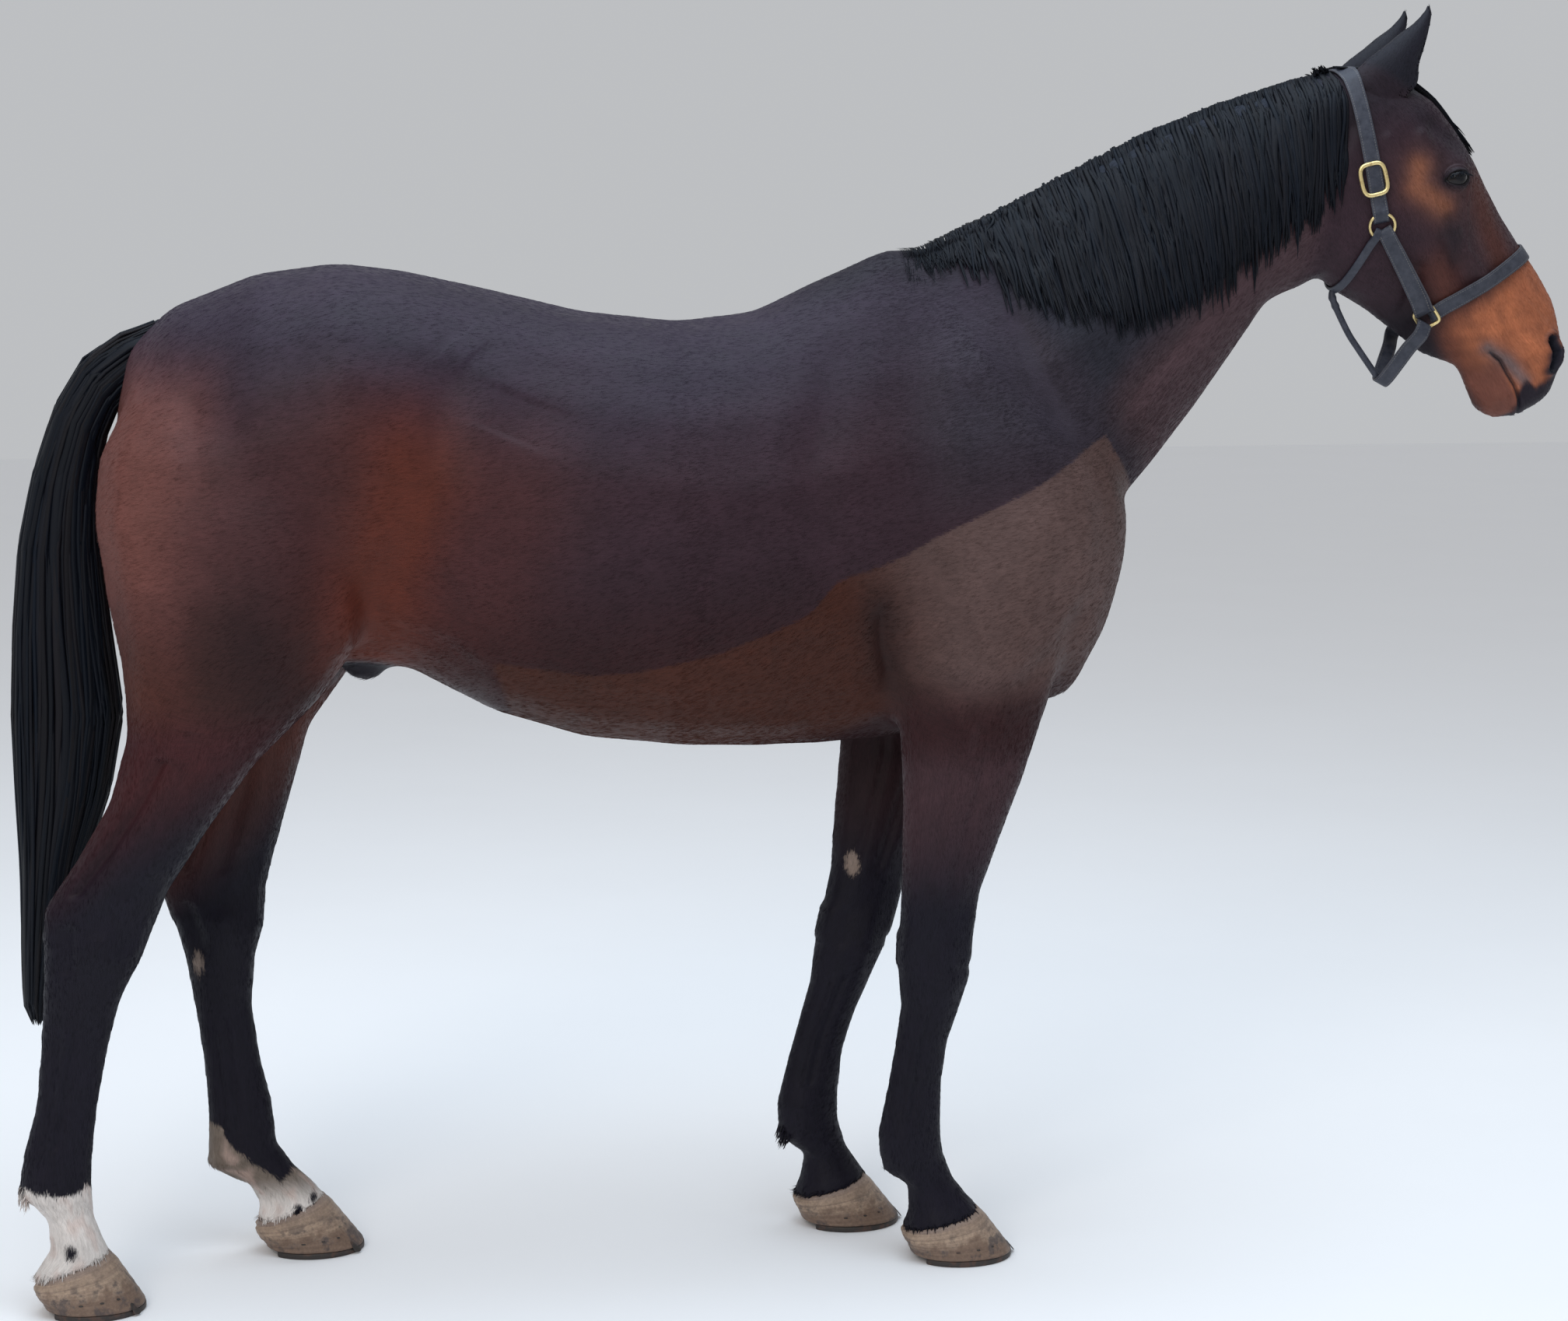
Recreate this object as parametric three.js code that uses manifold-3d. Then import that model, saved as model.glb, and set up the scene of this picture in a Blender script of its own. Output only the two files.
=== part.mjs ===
// A bay riding horse standing still in a leather headcollar, life size, in millimetres.
// +X is towards the nose, +Y is the horse's left and +Z is up. The origin is on the ground, midway along.
import * as THREE from 'three';
import { mergeVertices } from 'three/addons/utils/BufferGeometryUtils.js';
import Module from 'manifold-3d';

const wasm = await Module();
wasm.setup();

// Driving dimensions
const thinCut = 0.3;          // gap between neighbouring nodes
const farOut = 3000;          // half size of a cutting block
const shoeThick = 10;         // iron of the shoes
const eyeRadius = 21;         // eyeball
const strapThick = 4;         // headcollar leather
const strapWide = 25;         // noseband, cheek and crown straps
const strapThin = 13;         // throat and jowl straps
const hairClear = 1;          // hair and leather keep this far off the body
const maneThick = 8;          // mane and forelock over the hair
const poll = [855, 1893];     // top of the head, in x and z
const headFall = 56.4;        // the face slopes down by this angle, degrees

// ---------- solids ----------

// A closed geometry as a manifold solid: only positions are kept, and shared corners are merged.
function solidOf(geometry) {
  const bare = geometry.clone();
  bare.deleteAttribute('normal');
  bare.deleteAttribute('uv');
  const merged = mergeVertices(bare, 1e-3);
  return new wasm.Manifold(new wasm.Mesh({
    numProp: 3,
    vertProperties: new Float32Array(merged.attributes.position.array),
    triVerts: new Uint32Array(merged.index.array),
  }));
}

function geometryOf(solid) {
  const { vertProperties, triVerts } = solid.getMesh();
  const geometry = new THREE.BufferGeometry();
  geometry.setAttribute('position', new THREE.BufferAttribute(new Float32Array(vertProperties), 3));
  geometry.setIndex(new THREE.BufferAttribute(new Uint32Array(triVerts), 1));
  geometry.computeVertexNormals();
  return geometry;
}

const joined = (solids) => solids.reduce((sum, solid) => sum.add(solid));

// Catmull-Rom value of one named size, at a place between numbered sections.
function between(sections, place, size) {
  const last = sections.length - 1;
  const i = Math.min(Math.floor(place), last - 1);
  const t = place - i;
  const [a, b, c, d] = [i - 1, i, i + 1, i + 2].map((k) => size(sections[Math.min(Math.max(k, 0), last)]));
  return b + t * ((c - a) / 2 + t * (a - 2.5 * b + 2 * c - d / 2 + t * ((d - a) / 2 + 1.5 * (b - c))));
}

// A tube through oval sections, closed at both ends. Each section lies across the body, from the edge
// point `lo` to the edge point `hi` (x and z), and says: y the middle, half the half width, wide where
// along lo-hi it is widest, square how full the oval is (2 is an ellipse), ridge how much it narrows at
// hi, and keel how much at lo.
function tube(sections, { around = 20, rings = 2, grow = 0, toWorld = ([x, z]) => [x, z] }) {
  const full = sections.map((s) => ({ y: 0, wide: 0.5, square: 2, ridge: 0, keel: 0, ...s }));
  const positions = [];
  const count = (full.length - 1) * rings + 1;
  for (let ring = 0; ring < count; ring += 1) {
    const place = ring / rings;
    const at = (size) => between(full, place, size);
    const lo = toWorld([at((s) => s.lo[0]), at((s) => s.lo[1])]);
    const hi = toWorld([at((s) => s.hi[0]), at((s) => s.hi[1])]);
    const [y, half, wide] = [at((s) => s.y), at((s) => s.half) + grow, at((s) => s.wide)];
    const [square, ridge, keel] = [at((s) => s.square), at((s) => s.ridge), at((s) => s.keel)];
    const span = Math.hypot(hi[0] - lo[0], hi[1] - lo[1]);
    const across = [(hi[0] - lo[0]) / span, (hi[1] - lo[1]) / span];
    const middle = [lo[0] + across[0] * span * wide, lo[1] + across[1] * span * wide];
    for (let k = 0; k < around; k += 1) {
      const turn = 2 * Math.PI * k / around;
      const [c, s] = [Math.cos(turn), Math.sin(turn)];
      const reach = Math.sign(c) * Math.abs(c) ** (2 / square);
      const side = Math.sign(s) * Math.abs(s) ** (2 / square);
      const u = reach * ((c > 0 ? span * (1 - wide) : span * wide) + grow);
      const v = side * half * (1 - (c > 0 ? ridge : keel) * Math.abs(reach) ** 1.5);
      positions.push(middle[0] + across[0] * u, y + v, middle[1] + across[1] * u);
    }
  }
  endOut(positions, 0, around, grow);
  endOut(positions, count - 1, around, grow, -1);
  return closedTube(positions, count, around);
}

// Moves an end ring out along the tube by `grow`, away from the ring that `inward` steps to.
function endOut(positions, ring, around, grow, inward = 1) {
  const middle = (which) => [0, 1, 2].map((axis) => Array.from({ length: around },
    (_, k) => positions[(which * around + k) * 3 + axis]).reduce((sum, value) => sum + value) / around);
  const [end, next] = [middle(ring), middle(ring + inward)];
  const long = Math.hypot(...end.map((value, axis) => value - next[axis]));
  for (let k = 0; k < around; k += 1) {
    end.forEach((value, axis) => {
      positions[(ring * around + k) * 3 + axis] += grow * (value - next[axis]) / long;
    });
  }
}

// Rings of points joined into a skin, with a fan to a middle point at each end.
function closedTube(positions, count, around) {
  const index = [];
  for (let ring = 0; ring < count - 1; ring += 1) {
    for (let k = 0; k < around; k += 1) {
      const [a, b] = [ring * around + k, ring * around + (k + 1) % around];
      index.push(a, b, b + around, a, b + around, a + around);
    }
  }
  [[0, -1], [count - 1, 1]].forEach(([ring, out]) => {
    const tip = positions.length / 3;
    const middle = [0, 1, 2].map((axis) => {
      let sum = 0;
      for (let k = 0; k < around; k += 1) sum += positions[(ring * around + k) * 3 + axis];
      return sum / around;
    });
    positions.push(...middle);
    for (let k = 0; k < around; k += 1) {
      const [a, b] = [ring * around + k, ring * around + (k + 1) % around];
      index.push(...(out > 0 ? [a, b, tip] : [b, a, tip]));
    }
  });
  const geometry = new THREE.BufferGeometry();
  geometry.setAttribute('position', new THREE.BufferAttribute(new Float32Array(positions), 3));
  geometry.setIndex(index);
  return outward(geometry);
}

// The same geometry with its faces turned to point out.
function outward(geometry) {
  const { array } = geometry.attributes.position;
  const { array: index } = geometry.index;
  let volume = 0;
  const [a, b, c] = [new THREE.Vector3(), new THREE.Vector3(), new THREE.Vector3()];
  for (let i = 0; i < index.length; i += 3) {
    [a, b, c].forEach((corner, k) => corner.fromArray(array, index[i + k] * 3));
    volume += a.dot(b.cross(c));
  }
  if (volume < 0) geometry.setIndex(Array.from(index).reverse());
  return geometry;
}

// ---------- body ----------

// Back and belly from the tail end to the breast.
const trunkSections = [
  { lo: [-1078, 1278], hi: [-1070, 1388], half: 34 },
  { lo: [-1060, 1178], hi: [-1050, 1466], half: 96, wide: 0.6 },
  { lo: [-985, 1048], hi: [-985, 1525], half: 180, wide: 0.55, square: 2.1 },
  { lo: [-860, 993], hi: [-860, 1574], half: 238, wide: 0.55, square: 2.2, keel: 0.15 },
  { lo: [-740, 970], hi: [-740, 1590], half: 262, wide: 0.6, square: 2.25, keel: 0.2 },
  { lo: [-640, 963], hi: [-640, 1579], half: 256, wide: 0.55, square: 2.25, keel: 0.15 },
  { lo: [-510, 893], hi: [-510, 1551], half: 272, wide: 0.48, square: 2.2 },
  { lo: [-370, 849], hi: [-370, 1518], half: 292, wide: 0.46, square: 2.15, ridge: 0.05 },
  { lo: [-220, 831], hi: [-220, 1502], half: 290, wide: 0.45, square: 2.1, ridge: 0.1 },
  { lo: [-100, 826], hi: [-100, 1516], half: 274, wide: 0.44, square: 2.05, ridge: 0.2 },
  { lo: [10, 827], hi: [10, 1568], half: 248, wide: 0.43, ridge: 0.35 },
  { lo: [110, 833], hi: [110, 1612], half: 224, wide: 0.43, ridge: 0.5 },
  { lo: [210, 848], hi: [210, 1614], half: 212, wide: 0.44, ridge: 0.5 },
  { lo: [310, 870], hi: [310, 1528], half: 205, wide: 0.48, ridge: 0.3 },
  { lo: [402, 896], hi: [397, 1428], half: 190, wide: 0.5, square: 2.2 },
  { lo: [452, 984], hi: [458, 1338], half: 150, wide: 0.5, square: 2.2 },
  { lo: [481, 1066], hi: [488, 1268], half: 100 },
  { lo: [495, 1138], hi: [498, 1208], half: 40 },
];

// Crest and underside of the neck, from the withers and breast up to the poll and throat.
const neckSections = [
  { lo: [415, 1088], hi: [60, 1548], half: 110, wide: 0.45, ridge: 0.5 },
  { lo: [489, 1196], hi: [165, 1612], half: 150, wide: 0.42, ridge: 0.6 },
  { lo: [554, 1276], hi: [285, 1660], half: 136, wide: 0.42, square: 2.1, ridge: 0.62 },
  { lo: [619, 1358], hi: [400, 1720], half: 114, wide: 0.42, square: 2.1, ridge: 0.6 },
  { lo: [683, 1447], hi: [520, 1781], half: 96, wide: 0.44, square: 2.1, ridge: 0.55 },
  { lo: [736, 1523], hi: [645, 1831], half: 84, wide: 0.46, square: 2.1, ridge: 0.45 },
  { lo: [794, 1548], hi: [765, 1869], half: 76, wide: 0.5, square: 2.1, ridge: 0.35 },
  { lo: [850, 1579], hi: [850, 1887], half: 66, wide: 0.5, square: 2.1, ridge: 0.25 },
  { lo: [905, 1628], hi: [905, 1873], half: 46, wide: 0.5 },
];

// The head in its own axes: the distance down from the poll, and the height towards the face.
const headSections = [
  { lo: [-14, -95], hi: [-14, -30], half: 30 },
  { lo: [10, -130], hi: [8, 14], half: 58, wide: 0.6 },
  { lo: [35, -152], hi: [33, 46], half: 72, wide: 0.6, square: 2.1 },
  { lo: [66, -172], hi: [64, 72], half: 81, wide: 0.6, square: 2.2, keel: 0.1 },
  { lo: [120, -192], hi: [120, 97], half: 92, wide: 0.68, square: 2.4, keel: 0.2 },
  { lo: [180, -206], hi: [180, 104], half: 100, wide: 0.74, square: 2.5, keel: 0.2, ridge: 0.1 },
  { lo: [232, -212], hi: [232, 103], half: 101, wide: 0.76, square: 2.5, keel: 0.22, ridge: 0.12 },
  { lo: [285, -199], hi: [285, 103], half: 90, wide: 0.7, square: 2.5, keel: 0.32, ridge: 0.25 },
  { lo: [340, -171], hi: [340, 104], half: 77, wide: 0.62, square: 2.4, keel: 0.45, ridge: 0.38 },
  { lo: [400, -149], hi: [400, 107], half: 65, wide: 0.58, square: 2.3, keel: 0.5, ridge: 0.36 },
  { lo: [460, -127], hi: [460, 111], half: 53, wide: 0.55, square: 2.3, keel: 0.5, ridge: 0.25 },
  { lo: [510, -87], hi: [512, 108], half: 49, wide: 0.5, square: 2.4, keel: 0.5, ridge: 0.15 },
  { lo: [550, -92], hi: [556, 92], half: 54, wide: 0.56, square: 2.4, keel: 0.42, ridge: 0.1 },
  { lo: [588, -97], hi: [594, 68], half: 52, wide: 0.6, square: 2.4, keel: 0.3, ridge: 0.15 },
  { lo: [616, -80], hi: [622, 40], half: 42, wide: 0.6, square: 2.3, keel: 0.3 },
  { lo: [632, -50], hi: [638, 15], half: 26, wide: 0.6 },
];

const fall = THREE.MathUtils.degToRad(headFall);

// From the head's own axes to x and z.
function headToWorld([down, out]) {
  return [poll[0] + down * Math.cos(fall) + out * Math.sin(fall),
    poll[1] - down * Math.sin(fall) + out * Math.cos(fall)];
}

// Widths of a leg at each level, from within the trunk down to the coronet: out is the distance of the
// leg's middle from the horse's own middle, and the rest is as in a tube's sections.
const legForms = {
  hind: [
    { out: 60, half: 40 },
    { out: 96, half: 88 },
    { out: 120, half: 112, square: 2.2 },
    { out: 138, half: 120, square: 2.2, wide: 0.55 },
    { out: 146, half: 116, square: 2.2, wide: 0.55 },
    { out: 150, half: 100, wide: 0.55 },
    { out: 148, half: 82 },
    { out: 142, half: 66 },
    { out: 134, half: 54 },
    { out: 128, half: 49, square: 2.3, keel: 0.45 },
    { out: 125, half: 52, square: 2.4, keel: 0.4 },
    { out: 122, half: 44, square: 2.3, keel: 0.3 },
    { out: 119, half: 32, square: 2.2, keel: 0.2 },
    { out: 117, half: 29, square: 2.2, keel: 0.1 },
    { out: 116, half: 34 },
    { out: 115, half: 39, keel: 0.1 },
    { out: 114, half: 33 },
    { out: 114, half: 42 },
    { out: 114, half: 54, square: 2.2 },
    { out: 114, half: 50, square: 2.2 },
  ],
  fore: [
    { out: 45, half: 32 },
    { out: 92, half: 66 },
    { out: 120, half: 82, square: 2.2 },
    { out: 138, half: 86, square: 2.3 },
    { out: 142, half: 84, square: 2.3 },
    { out: 140, half: 78, square: 2.2 },
    { out: 134, half: 70 },
    { out: 126, half: 62 },
    { out: 118, half: 54 },
    { out: 112, half: 47, square: 2.1 },
    { out: 108, half: 47, square: 2.3 },
    { out: 105, half: 51, square: 2.5, keel: 0.35 },
    { out: 103, half: 43, square: 2.4, keel: 0.25 },
    { out: 101, half: 31, square: 2.2, keel: 0.15 },
    { out: 100, half: 29, square: 2.2, keel: 0.1 },
    { out: 99, half: 36 },
    { out: 99, half: 38, keel: 0.1 },
    { out: 99, half: 33 },
    { out: 99, half: 44 },
    { out: 99, half: 56, square: 2.2 },
    { out: 99, half: 52, square: 2.2 },
  ],
};

// Each leg's back and front edge (x and z) at the same levels.
const legEdges = {
  right_hind: [
    [[-960, 1478], [-800, 1498]],
    [[-1056, 1393], [-740, 1418]],
    [[-1099, 1303], [-705, 1318]],
    [[-1107, 1213], [-690, 1188]],
    [[-1092, 1098], [-702, 1048]],
    [[-1072, 988], [-780, 936]],
    [[-1068, 893], [-874, 845]],
    [[-1096, 793], [-950, 744]],
    [[-1143, 710], [-1008, 656]],
    [[-1190, 640], [-1034, 594]],
    [[-1199, 576], [-1052, 550]],
    [[-1202, 508], [-1082, 498]],
    [[-1208, 418], [-1105, 418]],
    [[-1219, 323], [-1124, 323]],
    [[-1240, 250], [-1133, 256]],
    [[-1250, 191], [-1137, 203]],
    [[-1210, 143], [-1136, 150]],
    [[-1204, 100], [-1124, 114]],
    [[-1231, 58], [-1112, 88]],
    [[-1228, 28], [-1096, 58]],
  ],
  left_hind: [
    [[-960, 1478], [-798, 1498]],
    [[-1056, 1393], [-733, 1418]],
    [[-1096, 1308], [-693, 1318]],
    [[-1096, 1218], [-670, 1188]],
    [[-1062, 1098], [-663, 1048]],
    [[-1006, 973], [-726, 943]],
    [[-972, 868], [-790, 856]],
    [[-984, 766], [-824, 746]],
    [[-1019, 688], [-850, 660]],
    [[-1039, 624], [-866, 600]],
    [[-1019, 563], [-870, 544]],
    [[-1000, 493], [-888, 486]],
    [[-985, 403], [-893, 410]],
    [[-974, 313], [-882, 323]],
    [[-970, 233], [-865, 250]],
    [[-973, 148], [-859, 182]],
    [[-912, 112], [-833, 142]],
    [[-893, 82], [-805, 114]],
    [[-897, 54], [-783, 87]],
    [[-892, 26], [-765, 58]],
  ],
  right_fore: [
    [[110, 1518], [230, 1548]],
    [[98, 1418], [320, 1433]],
    [[86, 1308], [385, 1323]],
    [[78, 1198], [432, 1203]],
    [[76, 1083], [416, 1078]],
    [[82, 983], [374, 973]],
    [[102, 893], [346, 888]],
    [[114, 788], [315, 788]],
    [[117, 688], [278, 688]],
    [[118, 603], [249, 603]],
    [[116, 528], [236, 528]],
    [[115, 476], [233, 466]],
    [[121, 418], [219, 420]],
    [[112, 353], [200, 360]],
    [[100, 283], [191, 293]],
    [[85, 208], [190, 223]],
    [[91, 148], [193, 178]],
    [[134, 116], [210, 133]],
    [[136, 82], [232, 104]],
    [[128, 52], [253, 81]],
    [[136, 24], [270, 52]],
  ],
  left_fore: [
    [[110, 1518], [230, 1548]],
    [[92, 1418], [318, 1433]],
    [[78, 1308], [382, 1323]],
    [[64, 1198], [428, 1203]],
    [[54, 1083], [408, 1078]],
    [[52, 973], [356, 973]],
    [[68, 883], [308, 888]],
    [[62, 783], [262, 788]],
    [[53, 683], [220, 693]],
    [[47, 598], [184, 613]],
    [[32, 528], [162, 538]],
    [[18, 466], [143, 480]],
    [[12, 413], [119, 428]],
    [[-7, 350], [90, 362]],
    [[-26, 283], [69, 298]],
    [[-45, 208], [61, 226]],
    [[-41, 150], [61, 178]],
    [[0, 116], [74, 133]],
    [[-5, 82], [92, 106]],
    [[-16, 51], [108, 82]],
    [[-8, 24], [124, 54]],
  ],
};

const legs = {
  right_hind: { side: -1, form: 'hind' },
  left_hind: { side: 1, form: 'hind' },
  right_fore: { side: -1, form: 'fore' },
  left_fore: { side: 1, form: 'fore' },
};
const legSections = (leg) => legEdges[leg].map(([lo, hi], level) => {
  const { out, ...sizes } = legForms[legs[leg].form][level];
  return { lo, hi, y: legs[leg].side * out, ...sizes };
});

// Each hoof: toe and heel on the ground, front and back of the coronet, and the middle's y.
const hoofs = {
  right_hind: { toe: -1063, heel: -1214, front: [-1112, 90], back: [-1231, 54], y: -114, half: 62 },
  left_hind: { toe: -724, heel: -880, front: [-783, 89], back: [-901, 50], y: 114, half: 62 },
  right_fore: { toe: 306, heel: 142, front: [254, 80], back: [127, 50], y: -99, half: 66 },
  left_fore: { toe: 162, heel: -1, front: [107, 82], back: [-15, 50], y: 99, half: 66 },
};

// Where each leg is parted: a point in x and z on the cut, and how far the cut slopes, degrees.
const legCuts = {
  right_hind: [[-930, 910, 0], [-1150, 458, 0], [-1185, 168, 6]],
  left_hind: [[-880, 910, 0], [-945, 453, -4], [-900, 140, 24]],
  right_fore: [[230, 815, 0], [165, 386, 0], [150, 144, 16]],
  left_fore: [[160, 815, 0], [58, 380, 8], [18, 144, 16]],
};
const legLengths = ['upper', 'cannon', 'pastern'];

function ellipsoid(place, radii, turnY = 0, detail = [16, 10]) {
  const geometry = new THREE.SphereGeometry(1, ...detail);
  geometry.scale(...radii);
  geometry.rotateY(THREE.MathUtils.degToRad(turnY));
  geometry.translate(...place);
  return solidOf(geometry);
}

const sheath = { place: [-710, 0, 978], radii: [41, 32, 33], turnY: 12 };
const eyeDown = 233;          // eye's place down the head
const eyeOut = 39;            // and towards the face
const eyeSide = 87;           // eyeball centre from the middle plane
const brow = { down: 222, out: 50, side: 79, radii: [38, 24, 24] };
const nostril = { down: 574, out: 54, side: 34, radii: [32, 17, 22] };

const onHead = (down, out, y) => {
  const [x, z] = headToWorld([down, out]);
  return [x, y, z];
};

// Head solid: the skull's tube, with a brow over each eye and a flared rim round each nostril.
function headSolid(grow) {
  const bulges = [-1, 1].flatMap((side) => [brow, nostril].map(({ down, out, side: reach, radii }) =>
    ellipsoid(onHead(down, out, side * reach), radii.map((r) => r + grow), headFall, [8, 6])));
  return joined([solidOf(tube(headSections, { around: 18, rings: 1, grow, toWorld: headToWorld })), ...bulges]);
}

// Head and neck as one piece, and then the whole body, with the surface moved out by `grow`.
const neckSolid = (grow) => solidOf(tube(neckSections, { around: 18, rings: 1, grow })).add(headSolid(grow));

function bodySolid(grow) {
  const trunk = solidOf(tube(trunkSections, { around: 20, rings: 1, grow }));
  const limbs = Object.keys(legs).map((leg) => solidOf(tube(legSections(leg), { around: 10, rings: 1, grow })));
  const sheathSolid = ellipsoid(sheath.place, sheath.radii, sheath.turnY, [10, 6]);
  return joined([trunk, neckSolid(grow), sheathSolid, ...limbs]);
}

// The half space past a plane through `point` (x, z), on the side that a line at `turn` degrees from +X
// points to.
function past(point, turn, gap = thinCut / 2) {
  const angle = THREE.MathUtils.degToRad(turn);
  const geometry = new THREE.BoxGeometry(2 * farOut, 2 * farOut, 2 * farOut);
  geometry.translate(farOut + gap, 0, 0);
  geometry.rotateY(-angle);
  geometry.translate(point[0], 0, point[1]);
  return solidOf(geometry);
}

// Everything on one side (-1 right, 1 left), between two x planes.
function sideBlock(side, fromX, toX) {
  const geometry = new THREE.BoxGeometry(toX - fromX, farOut, 2 * farOut);
  geometry.translate((fromX + toX) / 2, side * farOut / 2, 0);
  return solidOf(geometry);
}

const headCut = { point: [810, 1726], turn: 172.4 };
const neckCut = { point: [360, 1439], turn: 37.5 };

const nodes = [];
const addNode = (name, solid, look) => nodes.push({ name, solid, look });

const whole = bodySolid(0);
const clear = bodySolid(hairClear);

const looks = {
  coat: { color: '#3a2722', roughness: 0.6, metalness: 0 },
  hair: { color: '#15120f', roughness: 0.6, metalness: 0 },
  horn: { color: '#8d7d68', roughness: 0.5, metalness: 0 },
  iron: { color: '#55534f', roughness: 0.45, metalness: 0.8 },
  eye: { color: '#120c09', roughness: 0.08, metalness: 0 },
  leather: { color: '#39424b', roughness: 0.5, metalness: 0 },
  brass: { color: '#cbb273', roughness: 0.3, metalness: 0.9 },
};

// ---------- head, neck, trunk and legs, parted by thin cuts ----------

const sides = { right: -1, left: 1 };
const eyeSolid = (side, grow) =>
  ellipsoid(onHead(eyeDown, eyeOut, side * eyeSide), Array(3).fill(eyeRadius + grow), 0, [12, 7]);
const eyes = joined([eyeSolid(-1, thinCut), eyeSolid(1, thinCut)]);
const beyondHead = past(headCut.point, headCut.turn - 180);
const beforeHead = past(headCut.point, headCut.turn);
const beyondNeck = past(neckCut.point, neckCut.turn);
const beforeNeck = past(neckCut.point, neckCut.turn - 180);
addNode('head', whole.intersect(beyondHead).subtract(eyes), 'coat');
addNode('neck', whole.intersect(beforeHead).intersect(beyondNeck), 'coat');

const legSpans = { hind: [-farOut, -655], fore: [-200, farOut] };
const above = ([x, z, slope]) => past([x, z], 90 + slope);
const below = ([x, z, slope]) => past([x, z], slope - 90);
let trunk = whole.intersect(beforeNeck);
Object.entries(legCuts).forEach(([leg, cuts]) => {
  const region = sideBlock(legs[leg].side, ...legSpans[legs[leg].form]);
  const { front, back } = hoofs[leg];
  const coronetSlope = THREE.MathUtils.radToDeg(Math.atan2(front[1] - back[1], front[0] - back[0]));
  const levels = [...cuts, [...front, coronetSlope]];
  trunk = trunk.subtract(region.intersect(past(cuts[0].slice(0, 2), cuts[0][2] - 90, -thinCut / 2)));
  legLengths.forEach((length, k) => {
    const piece = whole.intersect(region).intersect(below(levels[k])).intersect(above(levels[k + 1]));
    addNode(`${leg}_${length}`, piece, 'coat');
  });
});
addNode('trunk', trunk, 'coat');
Object.entries(sides).forEach(([name, side]) => addNode(`${name}_eye`, eyeSolid(side, 0), 'eye'));

// ---------- hoofs and shoes ----------

const hoofBase = shoeThick + thinCut;
const webWide = 23;           // width of a shoe's iron
const shoeTurn = 148;         // a shoe's arms end at this angle from the toe, degrees
const shoeSteps = 10;

function hoofSolid({ toe, heel, front, back, y, half }) {
  const mix = (a, b, t) => a + (b - a) * t;
  const level = (t, side) => ({
    hi: [mix(toe, front[0], t), mix(hoofBase, front[1], t)],
    lo: [mix(heel, back[0], t), mix(hoofBase, back[1], t)],
    y,
    half: mix(half, side, t),
    square: 2.2,
    wide: 0.52,
  });
  const levels = [level(0, half), level(0.5, half - 8), level(1.06, half - 8)];
  const wall = solidOf(tube(levels, { around: 16, rings: 1 }));
  const slope = THREE.MathUtils.radToDeg(Math.atan2(front[1] - back[1], front[0] - back[0]));
  return wall.intersect(below([...front, slope]));
}

function shoeGeometry({ toe, heel, y, half }) {
  const [long, wide] = [(toe - heel) / 2, half - 1];
  const arc = (inset) => Array.from({ length: shoeSteps + 1 }, (_, k) => {
    const turn = THREE.MathUtils.degToRad(shoeTurn * (2 * k / shoeSteps - 1));
    return new THREE.Vector2((long - inset) * Math.cos(turn), (wide - inset) * Math.sin(turn));
  });
  const outline = new THREE.Shape([...arc(0), ...arc(webWide).reverse()]);
  const geometry = new THREE.ExtrudeGeometry(outline, { depth: shoeThick, bevelEnabled: false });
  geometry.translate((toe + heel) / 2, y, 0);
  return geometry;
}

Object.entries(hoofs).forEach(([leg, hoof]) => {
  addNode(`${leg}_hoof`, hoofSolid(hoof), 'horn');
  addNode(`${leg}_shoe`, solidOf(shoeGeometry(hoof)), 'iron');
});

// ---------- ears ----------

// Back and front edges of an ear from its root to its tip, and half its width.
const earSections = [
  { lo: [842, 1880], hi: [954, 1832], half: 27 },
  { lo: [884, 1910], hi: [971, 1861], half: 27 },
  { lo: [911, 1930], hi: [970, 1893], half: 25 },
  { lo: [932, 1947], hi: [976, 1919], half: 21 },
  { lo: [957, 1965], hi: [982, 1948], half: 14 },
  { lo: [974, 1984], hi: [986, 1979], half: 6 },
  { lo: [978, 1997], hi: [983, 1995], half: 2.5 },
];
const earSide = 50;           // an ear's middle from the middle plane
const earHollow = 0.68;       // its hollow's width, as a share of its own
const earDepth = 0.62;        // the hollow lies this far forward, as a share of half the ear's length

// A leaf with a hollow that opens in front.
function earSolid(side) {
  const leaf = earSections.map((section) => ({ ...section, y: side * earSide }));
  const hollow = leaf.slice(0, -1).map(({ lo, hi, y, half }) => {
    const shift = [0, 1].map((axis) => earDepth * (hi[axis] - lo[axis]) / 2);
    const moved = (edge) => edge.map((value, axis) => value + shift[axis]);
    return { lo: moved(lo), hi: moved(hi), y, half: half * earHollow };
  });
  const [outer, inner] = [leaf, hollow].map((sections) => solidOf(tube(sections, { around: 8, rings: 1 })));
  return outer.subtract(inner);
}

// ---------- mane, forelock and tail ----------

// A prism with an outline in x and z, from one y to another.
function prism(outline, fromY, toY) {
  const shape = new THREE.Shape(outline.map(([x, z]) => new THREE.Vector2(x, z)));
  const geometry = new THREE.ExtrudeGeometry(shape, { depth: toY - fromY, bevelEnabled: false });
  geometry.rotateX(Math.PI / 2);
  geometry.translate(0, toY, 0);
  return solidOf(geometry);
}

const neckClear = neckSolid(hairClear);
const underHair = neckSolid(hairClear + maneThick);

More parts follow.
